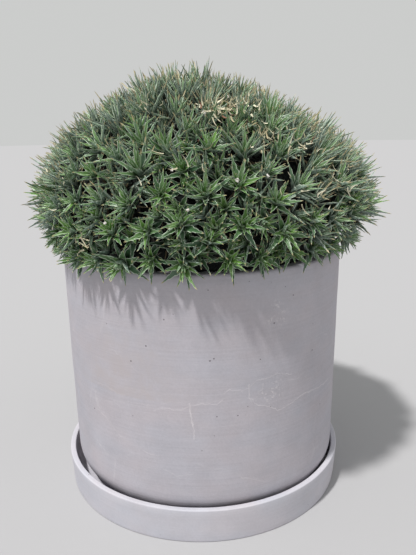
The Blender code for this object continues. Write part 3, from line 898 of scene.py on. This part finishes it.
leaf_shapes = bpy.data.collections.new("leaf shapes")
for name, bend, sway, tooth in (
    ("leaf a", -0.06, 0.04, TOOTH),
    ("leaf b", 0.15, -0.10, TOOTH * 0.8),
    ("leaf c", -0.30, 0.11, TOOTH * 1.1),
    ("leaf d", -0.17, -0.12, TOOTH * 0.9),
):
    leaf_shapes.objects.link(leaf_shape(name, bend, sway, tooth))

# %% [markdown]
# A rosette is a spiral: each new leaf stands a golden angle on from the last, a little nearer the
# heart, a little shorter and more upright. That is a rule, so Geometry Nodes make it. The tree
# takes one point for each rosette, makes as many copies of it as there are leaves, and turns the
# running number of a copy into its angle, lift, length and place. The first few of a rosette are
# its old leaves, which hang back along the stem and have dried.

# %% Helpers for trees that place shapes


def named(tree, name, kind="FLOAT"):
    made = add(tree, "GeometryNodeInputNamedAttribute", {"Name": name}, data_type=kind)
    return made.output("Attribute")


def dice(tree, seed):
    """A function that gives each point a random number between two limits, new at each call."""
    number = add(tree, "GeometryNodeInputIndex")
    steps = itertools.count(1)

    def throw(low, high):
        inputs = {2: low, 3: high, 7: number, 8: seed + next(steps)}
        return add(tree, "FunctionNodeRandomValue", inputs, data_type="FLOAT").output(1)

    return throw


def choose(switch, off, on):
    inputs = {"Switch": switch, "False": off, "True": on}
    return add(switch, "GeometryNodeSwitch", inputs, input_type="FLOAT")


def facing_and_turned(tree, *angles):
    """The rotation to the way that a point faces, and that one turned on by three angles."""
    vector = named(tree, "facing", "FLOAT_VECTOR")
    facing = add(tree, "FunctionNodeAlignRotationToVector", {"Vector": vector}, axis="Z")
    own = add(tree, "ShaderNodeCombineXYZ", dict(enumerate(angles)))
    own = add(tree, "FunctionNodeEulerToRotation", {0: own})
    inputs = {"Rotation": facing, "Rotate By": own}
    return facing, add(tree, "FunctionNodeRotateRotation", inputs, rotation_space="LOCAL")


def on_points(points, shapes, pick, rotation, scale):
    """Puts the picked shape of a collection on each point."""
    inputs = {"Collection": shapes, "Separate Children": True, "Reset Children": True}
    inputs = {
        "Points": points,
        "Instance": add(points, "GeometryNodeCollectionInfo", inputs),
        "Pick Instance": True,
        "Instance Index": pick.calc("FLOOR"),
        "Rotation": rotation,
        "Scale": scale,
    }
    return add(points, "GeometryNodeInstanceOnPoints", inputs)


def hand_over(things, facts, material, result):
    """Stores on each instance what the material has to read, and makes all of them one mesh."""
    settings = {"data_type": "FLOAT", "domain": "INSTANCE"}
    for name, value in facts.items():
        inputs = {"Geometry": things, "Name": name, "Value": value}
        things = add(things, "GeometryNodeStoreNamedAttribute", inputs, **settings)
    things = add(things, "GeometryNodeRealizeInstances", {"Geometry": things})
    inputs = {"Geometry": things, "Material": material}
    feed(result, {0: add(things, "GeometryNodeSetMaterial", inputs)})


# %% The rosette tree
FULLY_CLOSED = 45.0
LIFT_POWER, LENGTH_POWER = 0.85, 1.4
OLD_LIFTS, LIFT_SHAKE = (-34.0, 2.0), (-14.0, 14.0)
ANGLE_SHAKE, ROLL_SHAKE = (-0.34, 0.34), (-0.35, 0.35)
LENGTHS, WIDTHS, OLD_WIDTH = (0.78, 1.16), (0.88, 1.1), 0.45
CLOSED_LENGTH, CLOSED_WIDTH, HEART_WIDTH = 1.82, 0.47, 0.85
PICK_OF_FOUR, PICK_OF_THREE = (0.0, 3.999), (0.0, 2.999)


def rosette_tree():
    inputs = {
        "Rosettes": GEOMETRY,
        "Leaf shapes": COLLECTION,
        "Old leaves": 3,
        "Outer lift": 6.0,
        "Inner lift": 80.0,
        "Outer length": 0.0090,
        "Inner length": 0.0066,
        "Core radius": 0.0014,
        "Core height": 0.0026,
        "Seed": 0,
        "Leaf material": MATERIAL,
    }
    tree, got, result = new_group("rosettes", "GeometryNodeTree", inputs, {"Plant": GEOMETRY})
    leaves, closed = named(tree, "leaves", "INT"), named(tree, "closed")
    inputs = {"Geometry": got["Rosettes"], "Amount": leaves}
    copies = add(tree, "GeometryNodeDuplicateElements", inputs, domain="POINT")
    rank = copies.output("Duplicate Index")
    old = rank.calc("LESS_THAN", got["Old leaves"])
    last = leaves - got["Old leaves"] - 1.0
    share = (rank - got["Old leaves"]).calc("DIVIDE", last, clamp=True)

    chance = dice(tree, got["Seed"])
    lift = (share**LIFT_POWER).ramp(got["Outer lift"], got["Inner lift"])
    lift = closed * (1.0 - share) + lift
    lift = choose(old, lift, chance(*OLD_LIFTS)) + chance(*LIFT_SHAKE)
    angle = rank * GOLDEN_ANGLE + named(tree, "turn") + chance(*ANGLE_SHAKE)
    roll = chance(*ROLL_SHAKE)
    length = (share**LENGTH_POWER).ramp(got["Outer length"], got["Inner length"])
    length = length * named(tree, "size")
    length = length * chance(*LENGTHS) * choose(old, 1.0, named(tree, "skirt"))
    length = length * closed.ramp(1.0, CLOSED_LENGTH, 0.0, FULLY_CLOSED)
    slim = closed.ramp(1.0, CLOSED_WIDTH, 0.0, FULLY_CLOSED) * share.ramp(1.0, HEART_WIDTH)
    width = length * (choose(old, slim, OLD_WIDTH) * chance(*WIDTHS))

    facing, turned_leaf = facing_and_turned(tree, roll, lift.calc("RADIANS") * -1.0, angle)
    radius = got["Core radius"] * (1.15 - share)
    rise = got["Core height"] * (share - old * 0.8)
    foot = {0: radius * angle.calc("COSINE"), 1: radius * angle.calc("SINE"), 2: rise}
    inputs = {"Vector": add(tree, "ShaderNodeCombineXYZ", foot), "Rotation": facing}
    offset = add(tree, "FunctionNodeRotateVector", inputs)
    placed = add(tree, "GeometryNodeSetPosition", {"Geometry": copies, "Offset": offset})
    scale = add(tree, "ShaderNodeCombineXYZ", {0: length, 1: width, 2: width})
    grown = on_points(placed, got["Leaf shapes"], chance(*PICK_OF_FOUR), turned_leaf, scale)
    facts = {"young": share, "old": old, "tint": chance(0.0, 1.0)}
    facts["shaded"] = named(tree, "shaded")
    facts["greyness"] = closed.ramp(0.0, 1.0, 10.0, FULLY_CLOSED)
    hand_over(grown, facts, got["Leaf material"], result)
    return tree


ROSETTES = rosette_tree()
print("rosette tree:", len(ROSETTES.nodes), "nodes")

# %% [markdown]
# The leaf's colour follows where on the leaf you look. The channel is a clear green that turns
# yellow-green towards the heart of the rosette, the keeled back is blue grey with silvery scurf,
# the margin and its teeth are pale with a painted highlight, and the end spine is tan. The foot of
# a leaf lies deep in the rosette, so painted shade darkens it, and side shoots get more. In half
# closed rosettes some leaves have dried farther down. All of it reads the leaf's own map: U runs
# round the leaf, with the channel below one half, and V runs from its foot to its tip.

# %% Leaf material


OUTER_GREEN, HEART_GREEN = (0.043, 0.109, 0.045, 1), (0.142, 0.285, 0.060, 1)
GREY_GREEN, DULL_GREEN = (0.225, 0.33, 0.235, 1), (0.16, 0.24, 0.17, 1)
BARE_BACK, SILVER_SCURF = (0.105, 0.165, 0.125, 1), (0.46, 0.58, 0.50, 1)
PALE_MARGIN_AND_HIGHLIGHT, TAN_TIP = (0.74, 0.83, 0.68, 1), (0.54, 0.43, 0.24, 1)
DARK_OLD_LEAF, LIGHT_OLD_LEAF = (0.030, 0.022, 0.015, 1), (0.16, 0.12, 0.07, 1)
SPINE_FROM, SPINE_SOFTNESS, DRIED_DOWN = 0.84, 0.1, 0.22
GREYED, DULLED, TANNED, SCURF_MM = 0.45, 0.35, 0.75, 0.7


def attribute(tree, name):
    return add(tree, "ShaderNodeAttribute", attribute_name=name).output("Fac")


def leaf_material():
    made = shader_material("leaf", Specular_IOR_Level=0.5)
    tree = made.node_tree
    chart = add(tree, "ShaderNodeUVMap", uv_map="leaf map")
    round_leaf = add(tree, "ShaderNodeSeparateXYZ", {0: chart})
    along = round_leaf.output("Y")
    young, old, tint = (attribute(tree, name) for name in ("young", "old", "tint"))
    shaded, greyness = (attribute(tree, name) for name in ("shaded", "greyness"))
    back = round_leaf.calc("GREATER_THAN", 0.5)
    margin = ((round_leaf * 2.0).calc("FRACT") - 0.5).calc("ABSOLUTE") * 2.0
    edge = margin.ramp(0.0, 1.0, greyness.ramp(0.79, 0.66), 0.92)

    front = young.ramp(0.0, 1.0, 0.1, 0.7).mix(OUTER_GREEN, HEART_GREEN)
    front = (greyness * GREYED).mix(front, GREY_GREEN)
    scurf = cloud(object_place(made), SCURF_MM, 2.0).ramp(0.0, 1.0, 0.35, 0.65)
    silver = scurf.mix(BARE_BACK, SILVER_SCURF)
    colour = (back * young.ramp(1.0, 0.35, 0.5, 0.9)).mix(front, silver)
    colour = tint.ramp(0.0, DULLED, 0.55, 1.0).mix(colour, DULL_GREEN)
    # Painted shade: the foot of each leaf darkens, farther up in closed rosettes and more on side
    # shoots, less in the young heart.
    painted_shade = along.ramp(greyness.ramp(0.25, 0.06), 1.0, 0.0, greyness.ramp(0.35, 0.65))
    painted_shade = painted_shade.at_least(young.ramp(0.0, 0.9, 0.35, 0.8)) * shaded.ramp(1.0, 0.6)
    colour = colour.tinted(painted_shade.grey())
    # The margin and its teeth are pale, with a painted highlight on them; shaded side shoots get
    # less of it.
    pale = edge * shaded.ramp(0.9, 0.5) * along.ramp(0.3, 1.0, 0.0, 0.4)
    colour = pale.mix(colour, PALE_MARGIN_AND_HIGHLIGHT)
    dry_from = SPINE_FROM - tint.ramp(0.0, greyness * DRIED_DOWN, 0.6, 0.9)
    tip = along.ramp(0.0, 1.0, dry_from, dry_from + SPINE_SOFTNESS)
    colour = (tip * TANNED).mix(colour, TAN_TIP)
    colour = old.mix(colour, tint.mix(DARK_OLD_LEAF, LIGHT_OLD_LEAF))

    streak = cloud(stretched(chart, (60.0, 3.0, 1.0)), 1000.0, 2.0)
    looks = {"Base Color": colour, "Roughness": edge.ramp(0.31, 0.55)}
    feed(surface_of(made), {**looks, "Normal": relief(streak, 0.12, 0.6)})
    return made


LEAF = leaf_material()
print("leaf material:", len(LEAF.node_tree.nodes), "nodes")

# %% [markdown]
# Where the cushion turns to the camera its rosettes lie open, and away from it they are half
# closed, with longer, slimmer leaves that stand up. Near the rim they open again. The hem hangs
# lower and fuller at the front left, where it throws its shadow farthest down the pot.

# %% Run a tree


def run_tree(made, tree, values):
    """Runs a tree on an object of loose points, and keeps the plain mesh that it makes."""
    bpy.context.scene.collection.objects.link(made)
    step = made.modifiers.new(tree.name, "NODES")
    step.node_group = tree
    for item in tree.interface.items_tree:
        if item.item_type == "SOCKET" and item.in_out == "INPUT" and item.name in values:
            step[item.identifier] = values[item.name]
    as_mesh(made)
    made.data.transform(Matrix.Translation(POT_SHIFT))
    return made


# %% How far each rosette is closed
openness = random.Random(23)
OPEN_SIDE, CLOSED_FROM = Vector((-0.25, -0.95, 0.2)).normalized(), math.radians(75.0)
LEAST_CLOSED, MOST_CLOSED, CLOSED_SPREAD = 6.0, 46.0, 16.0
CLOSED_SINK, SWEPT_UP = 3.0 * MM, 0.13
FULL_HEM_SIDE = Vector((-0.72, -0.69, 0.0))
HEM_REACH, HEM_FULLNESS, HEM_DROP = 1.20, 0.50, 2.5 * MM
LOW_BAND, LEAST_IN_BAND, TOP_SHRINK = 26.0 * MM, 0.55, 0.08
ROSETTE_LEAVES, SHOOT_LEAVES = (26, 26), (19, 18)
HEM_SKIRT, SKIRT = 0.3, 0.6


def closedness(facing, height):
    """How many degrees the outer leaves stand up: little at the front and near the rim."""
    turned_away = min(facing.angle(OPEN_SIDE) / CLOSED_FROM, 1.0)
    middle = LEAST_CLOSED + (MOST_CLOSED - LEAST_CLOSED) * turned_away ** 1.5
    band = min(max((height - HEM_TOP) / LOW_BAND, LEAST_IN_BAND), 1.0)
    return (middle + openness.uniform(-1, 1) * CLOSED_SPREAD) * band


def rosette_points(name, rosettes, side_shoots):
    """An object of one loose point for each rosette, with what the tree must know of it."""
    kinds = [(ROSETTE_LEAVES, 0.0)] * len(rosettes) + [(SHOOT_LEAVES, 1.0)] * len(side_shoots)
    rosettes = rosettes + side_shoots
    made = mesh_object(name, [rosette[0] for rosette in rosettes])
    mesh = made.data
    mesh.attributes.new("facing", "FLOAT_VECTOR", "POINT")
    mesh.attributes.new("leaves", "INT", "POINT")
    for label in ("size", "turn", "skirt", "closed", "shaded"):
        mesh.attributes.new(label, "FLOAT", "POINT")
    for i, (centre, facing, size, turn, hem) in enumerate(rosettes):
        (fewest, most), shoot = kinds[i]
        closed = 0.0 if hem else closedness(facing, centre.z)
        how_closed = closed / MOST_CLOSED
        full = max(facing.dot(FULL_HEM_SIDE), 0.0) ** 6 if hem else 0.0
        grown = HEM_REACH + HEM_FULLNESS * full if hem else 1.0
        facts = {
            "leaves": round(fewest + (most - fewest) * min(how_closed, 1.0)),
            # Side shoots stand deeper, so the leaf material paints shade on them, more in closed
            # rosettes.
            "shaded": shoot * (0.5 + 0.5 * how_closed),
            "closed": closed,
            "size": size * (grown - TOP_SHRINK * max(facing.z, 0.0) ** 4),
            "turn": turn,
            "skirt": HEM_SKIRT if hem else SKIRT,
        }
        for label, value in facts.items():
            mesh.attributes[label].data[i].value = value
        sunk = facing * how_closed * CLOSED_SINK + Vector((0, 0, HEM_DROP * full))
        mesh.vertices[i].co = centre - sunk
        swept = (facing + Vector((0, 0, how_closed * SWEPT_UP))).normalized()
        mesh.attributes["facing"].data[i].vector = swept
    return made


# %% Grow the branches


def grow(name, rosettes, side_shoots, seed):
    made = rosette_points(name, rosettes, side_shoots)
    values = {"Leaf shapes": leaf_shapes, "Seed": seed, "Leaf material": LEAF}
    return run_tree(made, ROSETTES, values)


foliage = []
for i, rosettes in enumerate(branches):
    piece = grow(f"foliage_{i + 1:02d}", rosettes, shoots[i], 100 * i)
    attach(piece, "root")
    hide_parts(f"branch_{i + 1:02d}")
    foliage.append(piece)
print("foliage:", sum(len(piece.data.polygons) for piece in foliage), "faces")

# %% [markdown]
# Between the rosettes the eye falls into the dark: shade, old leaves, fallen crumbs and woody
# stems.
# A thatch fills that space, as a closed dome that follows the cushion's surface a few millimetres
# below the rosettes, and is coloured nearly black: painted shade over the litter. It starts as a
# sphere, and each of its points moves to the surface along its own direction, with noise for the
# litter. The soil has the same matt finish in two tones, so that finish is a node group.

# %% Litter, for thatch and soil


def litter_group():
    """Two tones that change within a few millimetres."""
    inputs = {"Place": VECTOR, "Dark": MID_TONE, "Light": MID_TONE, "Size in mm": 1.0}
    outputs = {"Colour": COLOUR, "Height": FLOAT}
    tree, given, result = new_group("litter", "ShaderNodeTree", inputs, outputs)
    share = cloud(given["Place"], given["Size in mm"], 4.0).ramp(0.0, 1.0, 0.3, 0.75)
    feed(result, {"Colour": share.mix(given["Dark"], given["Light"]), "Height": share})
    return tree


LITTER = litter_group()
print("litter group:", len(LITTER.nodes), "nodes")


def litter_material(name, dark, light, size_mm):
    made = shader_material(name, Roughness=0.95, Specular_IOR_Level=0.2)
    inputs = {"Place": object_place(made), "Dark": (*dark, 1), "Light": (*light, 1)}
    inputs["Size in mm"] = size_mm
    colour = add(made.node_tree, "ShaderNodeGroup", inputs, node_tree=LITTER)
    normal = relief(colour.output("Height"), 0.5, 0.8)
    feed(surface_of(made), {"Base Color": colour, "Normal": normal})
    return made


# %% Thatch under the rosettes
THATCH_DEPTH, THATCH_LOW_Z = TIP_RISE + 7.0 * MM, 126.0 * MM
THATCH_RADIUS, THATCH_FLARE, THATCH_FLAT_FROM = 66.0, 6.0, 0.12
# Nearly black tones: painted shade for the dark gaps between the rosettes, over the thatch's
# litter.
THATCH_SHADE_TONES = (0.004, 0.005, 0.005), (0.018, 0.020, 0.018)


def thatch_point(direction):
    ripple = noise.noise(direction * 38) * 1.3 * MM + noise.noise(direction * 90) * 0.6 * MM
    place = on_cushion(direction, THATCH_DEPTH + ripple)
    if place.z < HEM_Z:
        share = (place.z - GROWTH_CENTRE.z) / (HEM_Z - GROWTH_CENTRE.z)
        radius = (THATCH_RADIUS + THATCH_FLARE * max(share, 0.0)) * MM * math.cos(min(share, 0.0))
        out = Vector((direction.x, direction.y, 0)).normalized()
        place = out * radius + Vector((0, 0, max(place.z, THATCH_LOW_Z)))
    return place


bpy.ops.mesh.primitive_uv_sphere_add(segments=128, ring_count=96, radius=1.0)
thatch = bpy.context.object
thatch.name = "thatch"
for vertex in thatch.data.vertices:
    direction = vertex.co.normalized()
    if direction.z > THATCH_FLAT_FROM:
        vertex.co = thatch_point(direction)
    else:
        vertex.co = (*direction.xy * THATCH_RADIUS * MM, THATCH_LOW_Z)
thatch.data.materials.append(litter_material("thatch", *THATCH_SHADE_TONES, 1.2))
thatch.data.transform(Matrix.Translation(POT_SHIFT))
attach(thatch, "root")
print("thatch:", len(thatch.data.polygons), "faces")

# %% [markdown]
# Small things lie about in the plant: curled straw that was once leaves, and white grains of the
# potting mix. One more tree scatters such things. Each point carries the way it faces. The tree
# picks one of a collection's shapes for it, turns it and gives it a size.

# %% The scattering tree


def scatter_tree():
    inputs = {"Places": GEOMETRY, "Shapes": COLLECTION, "Smallest": 0.001, "Largest": 0.002}
    inputs |= {"Tilt": 0.5, "Seed": 0, "Material": MATERIAL}
    tree, got, result = new_group("scatter", "GeometryNodeTree", inputs, {"Things": GEOMETRY})
    chance = dice(tree, got["Seed"])
    back = got["Tilt"] * -1.0
    tilts = [chance(back, got["Tilt"]) for _ in range(2)]
    _, rotation = facing_and_turned(tree, *tilts, chance(0.0, math.tau))
    pick, size = chance(*PICK_OF_THREE), chance(got["Smallest"], got["Largest"])
    things = on_points(got["Places"], got["Shapes"], pick, rotation, size)
    hand_over(things, {"tint": chance(0.0, 1.0)}, got["Material"], result)
    return tree


SCATTER = scatter_tree()
print("scattering tree:", len(SCATTER.nodes), "nodes")


def scatter(name, spots, shapes, sizes, tilt, material, seed):
    """One piece of many small things, a thing for each (place, facing)."""
    made = mesh_object(name, [place for place, _ in spots])
    made.data.attributes.new("facing", "FLOAT_VECTOR", "POINT")
    for i, (_, facing) in enumerate(spots):
        made.data.attributes["facing"].data[i].vector = facing
    values = {"Shapes": shapes, "Smallest": sizes[0] * MM, "Largest": sizes[1] * MM}
    run_tree(made, SCATTER, {**values, "Tilt": tilt, "Seed": seed, "Material": material})
    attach(made, "root")
    print(name, "has", len(made.data.polygons), "faces")
    return made


# %% [markdown]
# A straw is a leaf that dried: narrow, three-sided and curled. In the photograph they gather near
# the top and along the upper right, so most places are found by looking from the camera through a
# named pixel until the line of sight meets the cushion. The rest go all round, also on the back.

# %% Straw
STRAW_RINGS, STRAW_WIDTH = 8, 0.07


def straw_shape(name, curl, sway):
    points = []
    for i in range(STRAW_RINGS):
        s = i / STRAW_RINGS
        half = STRAW_WIDTH * (1 - s) ** 0.7
        middle, up = straw_frame(s, curl, sway)
        side, lift = Vector((0, half, 0)), up * half * 0.6
        points += [middle - side + lift, middle - up * half * 0.3, middle + side + lift]
    points.append(straw_frame(1.0, curl, sway)[0])
    return mesh_object(name, points, faces=pointed_tube(STRAW_RINGS, 3))


def straw_frame(s, curl, sway):
    """The middle of a straw at the share s of its length, and which way is up there."""
    bend = curl * s
    middle = Vector((math.sin(bend), 0, 1 - math.cos(bend))) / curl
    middle.y = sway * s * s
    return middle, Vector((-math.sin(bend), 0, math.cos(bend)))


straw_shapes = bpy.data.collections.new("straw shapes")
for name, curl, sway in (("straw a", 0.7, 0.15), ("straw b", 1.3, -0.2), ("straw c", 2.2, 0.1)):
    straw_shapes.objects.link(straw_shape(name, curl, sway))


SIGHT_STEP, STEPS_SKIPPED = 0.6, 300


def seen_at(x, y, depth):
    """The place this deep under the cushion's tips that the camera sees at a pixel, or None."""
    step = line_of_sight(x, y) * SIGHT_STEP * MM
    place = CAMERA_PLACE - POT_SHIFT + step * STEPS_SKIPPED
    while outside(place, depth) > 0 and place.y < CUSHION_RADIUS:
        place = place + step
    return place if outside(place, depth) <= 0 else None


def outward(place):
    return (place - GROWTH_CENTRE).normalized()


# %% Where straw lies
STRAW_AREAS = (
    (216, 109, 20, 8, 64),
    (240, 107, 22, 9, 44),
    (268, 134, 18, 14, 22),
    (310, 142, 24, 14, 22),
    (300, 196, 34, 16, 12),
    (346, 190, 20, 24, 12),
    (150, 106, 26, 12, 8),
    (52, 178, 14, 22, 8),
    (82, 244, 12, 8, 8),
    (180, 160, 50, 30, 8),
)
STRAW_DEPTHS, STRAW_SIZES = (0.0, 4.0 * MM), (3.2, 6.8)
STRAW_ELSEWHERE, ELSEWHERE_LIFTS = 130, (0.35, 1.4)
STRAW_DARK, STRAW_LIGHT = (0.40, 0.34, 0.20, 1), (0.88, 0.83, 0.64, 1)
STRAW_RED, RED_SHARE = (0.24, 0.12, 0.08, 1), 0.06
straw_draw = random.Random(41)
straw_spots = []
for x, y, wide, tall, count in STRAW_AREAS:
    for _ in range(count):
        pixel = (straw_draw.gauss(x, wide / 2), straw_draw.gauss(y, tall / 2))
        place = seen_at(*pixel, straw_draw.uniform(*STRAW_DEPTHS))
        if place:
            straw_spots.append((place, outward(place)))
for _ in range(STRAW_ELSEWHERE):
    direction = towards(straw_draw.uniform(0, math.pi), straw_draw.uniform(*ELSEWHERE_LIFTS))
    straw_spots.append((on_cushion(direction, straw_draw.uniform(*STRAW_DEPTHS)), direction))


def straw_material():
    made = shader_material("straw", Roughness=0.8, Specular_IOR_Level=0.25)
    tint = attribute(made.node_tree, "tint")
    red = tint.calc("LESS_THAN", RED_SHARE)
    feed(surface_of(made), {"Base Color": red.mix(tint.mix(STRAW_DARK, STRAW_LIGHT), STRAW_RED)})
    return made


straw = scatter("straw", straw_spots, straw_shapes, STRAW_SIZES, 1.1, straw_material(), 7)

# %% [markdown]
# The white grains are lumps of the potting mix that the leaves caught. They start as low spheres
# whose points are pushed in and out by noise.

# %% Grains


def lump_collection(name, fineness):
    found = bpy.data.collections.new(name)
    for i in range(3):
        ball = bmesh.new()
        bmesh.ops.create_icosphere(ball, subdivisions=fineness, radius=0.5)
        for vertex in ball.verts:
            vertex.co *= 1 + 0.9 * noise.noise(vertex.co * 3 + Vector((7 * i, 0, 0)))
            vertex.co.z *= 0.7
        mesh = bpy.data.meshes.new(name)
        ball.to_mesh(mesh)
        ball.free()
        found.objects.link(bpy.data.objects.new(name, mesh))
    return found


GRAIN_PIXELS = ((172, 170), (188, 210), (237, 180), (268, 176), (105, 223), (229, 97), (204, 113))
GRAINS_ELSEWHERE = 16
GRAIN_DEPTH = 2.5 * MM
grain_shapes = lump_collection("grain shapes", 2)
grain_spots = [(seen_at(x, y, GRAIN_DEPTH), Vector((0, -1, 0))) for x, y in GRAIN_PIXELS]
for _ in range(GRAINS_ELSEWHERE):
    azimuth = straw_draw.uniform(0.4, math.pi - 0.4)
    direction = towards(azimuth, straw_draw.uniform(*ELSEWHERE_LIFTS))
    grain_spots.append((on_cushion(direction, 2 * GRAIN_DEPTH), direction))
white = shader_material("white grain", Base_Color=(0.80, 0.76, 0.72, 1), Roughness=0.8)
grains = scatter("grains", grain_spots, grain_shapes, (1.0, 1.9), 3.0, white, 3)

# %% [markdown]
# The soil itself is turned from a profile, as the pot is. It is a little higher in the middle, and
# its top gets small dents, because a smooth disc would look poured.

# %% Soil
SOIL_EDGE_Z, SOIL_CROWN_Z, SOIL_GAP = 125.0, 129.0, 0.3
SOIL_BEND, SOIL_BEND_FALL, DENTS = 0.6, 0.8, 1.2 * MM
SOIL_TONES = (0.010, 0.007, 0.005), (0.07, 0.05, 0.034)
soil_low = POT_BASE + POT_FLOOR + SOIL_GAP
soil_edge = pot_inner_radius(SOIL_EDGE_Z) - SOIL_GAP
soil_foot = (pot_inner_radius(soil_low) - SOIL_GAP - POT_FILLET, soil_low + POT_FILLET)
soil_profile = [(0, SOIL_CROWN_Z), (soil_edge * SOIL_BEND, SOIL_CROWN_Z - SOIL_BEND_FALL)]
soil_profile += [(soil_edge, SOIL_EDGE_Z)] + arc(soil_foot, POT_FILLET, 0, -90, 4) + [(0, soil_low)]
fine_soil = turned("fine_soil", evened(soil_profile), closed=False, uneven=0.0)
for vertex in fine_soil.data.vertices:
    if vertex.co.z > (SOIL_EDGE_Z - 1) * MM and vertex.co.xy.length < (soil_edge - 1) * MM:
        vertex.co.z -= abs(noise.noise(vertex.co * 300)) * DENTS
fine_soil.data.transform(Matrix.Translation(POT_SHIFT))
fine_soil.data.materials.append(litter_material("soil", *SOIL_TONES, 1.0))
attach(fine_soil, "root")
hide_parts("soil")
print("soil:", len(fine_soil.data.polygons), "faces")

# %% Remove the leaf, straw and grain shapes
for shapes in (leaf_shapes, straw_shapes, grain_shapes):
    for shape in list(shapes.objects):
        bpy.data.objects.remove(shape, do_unlink=True)
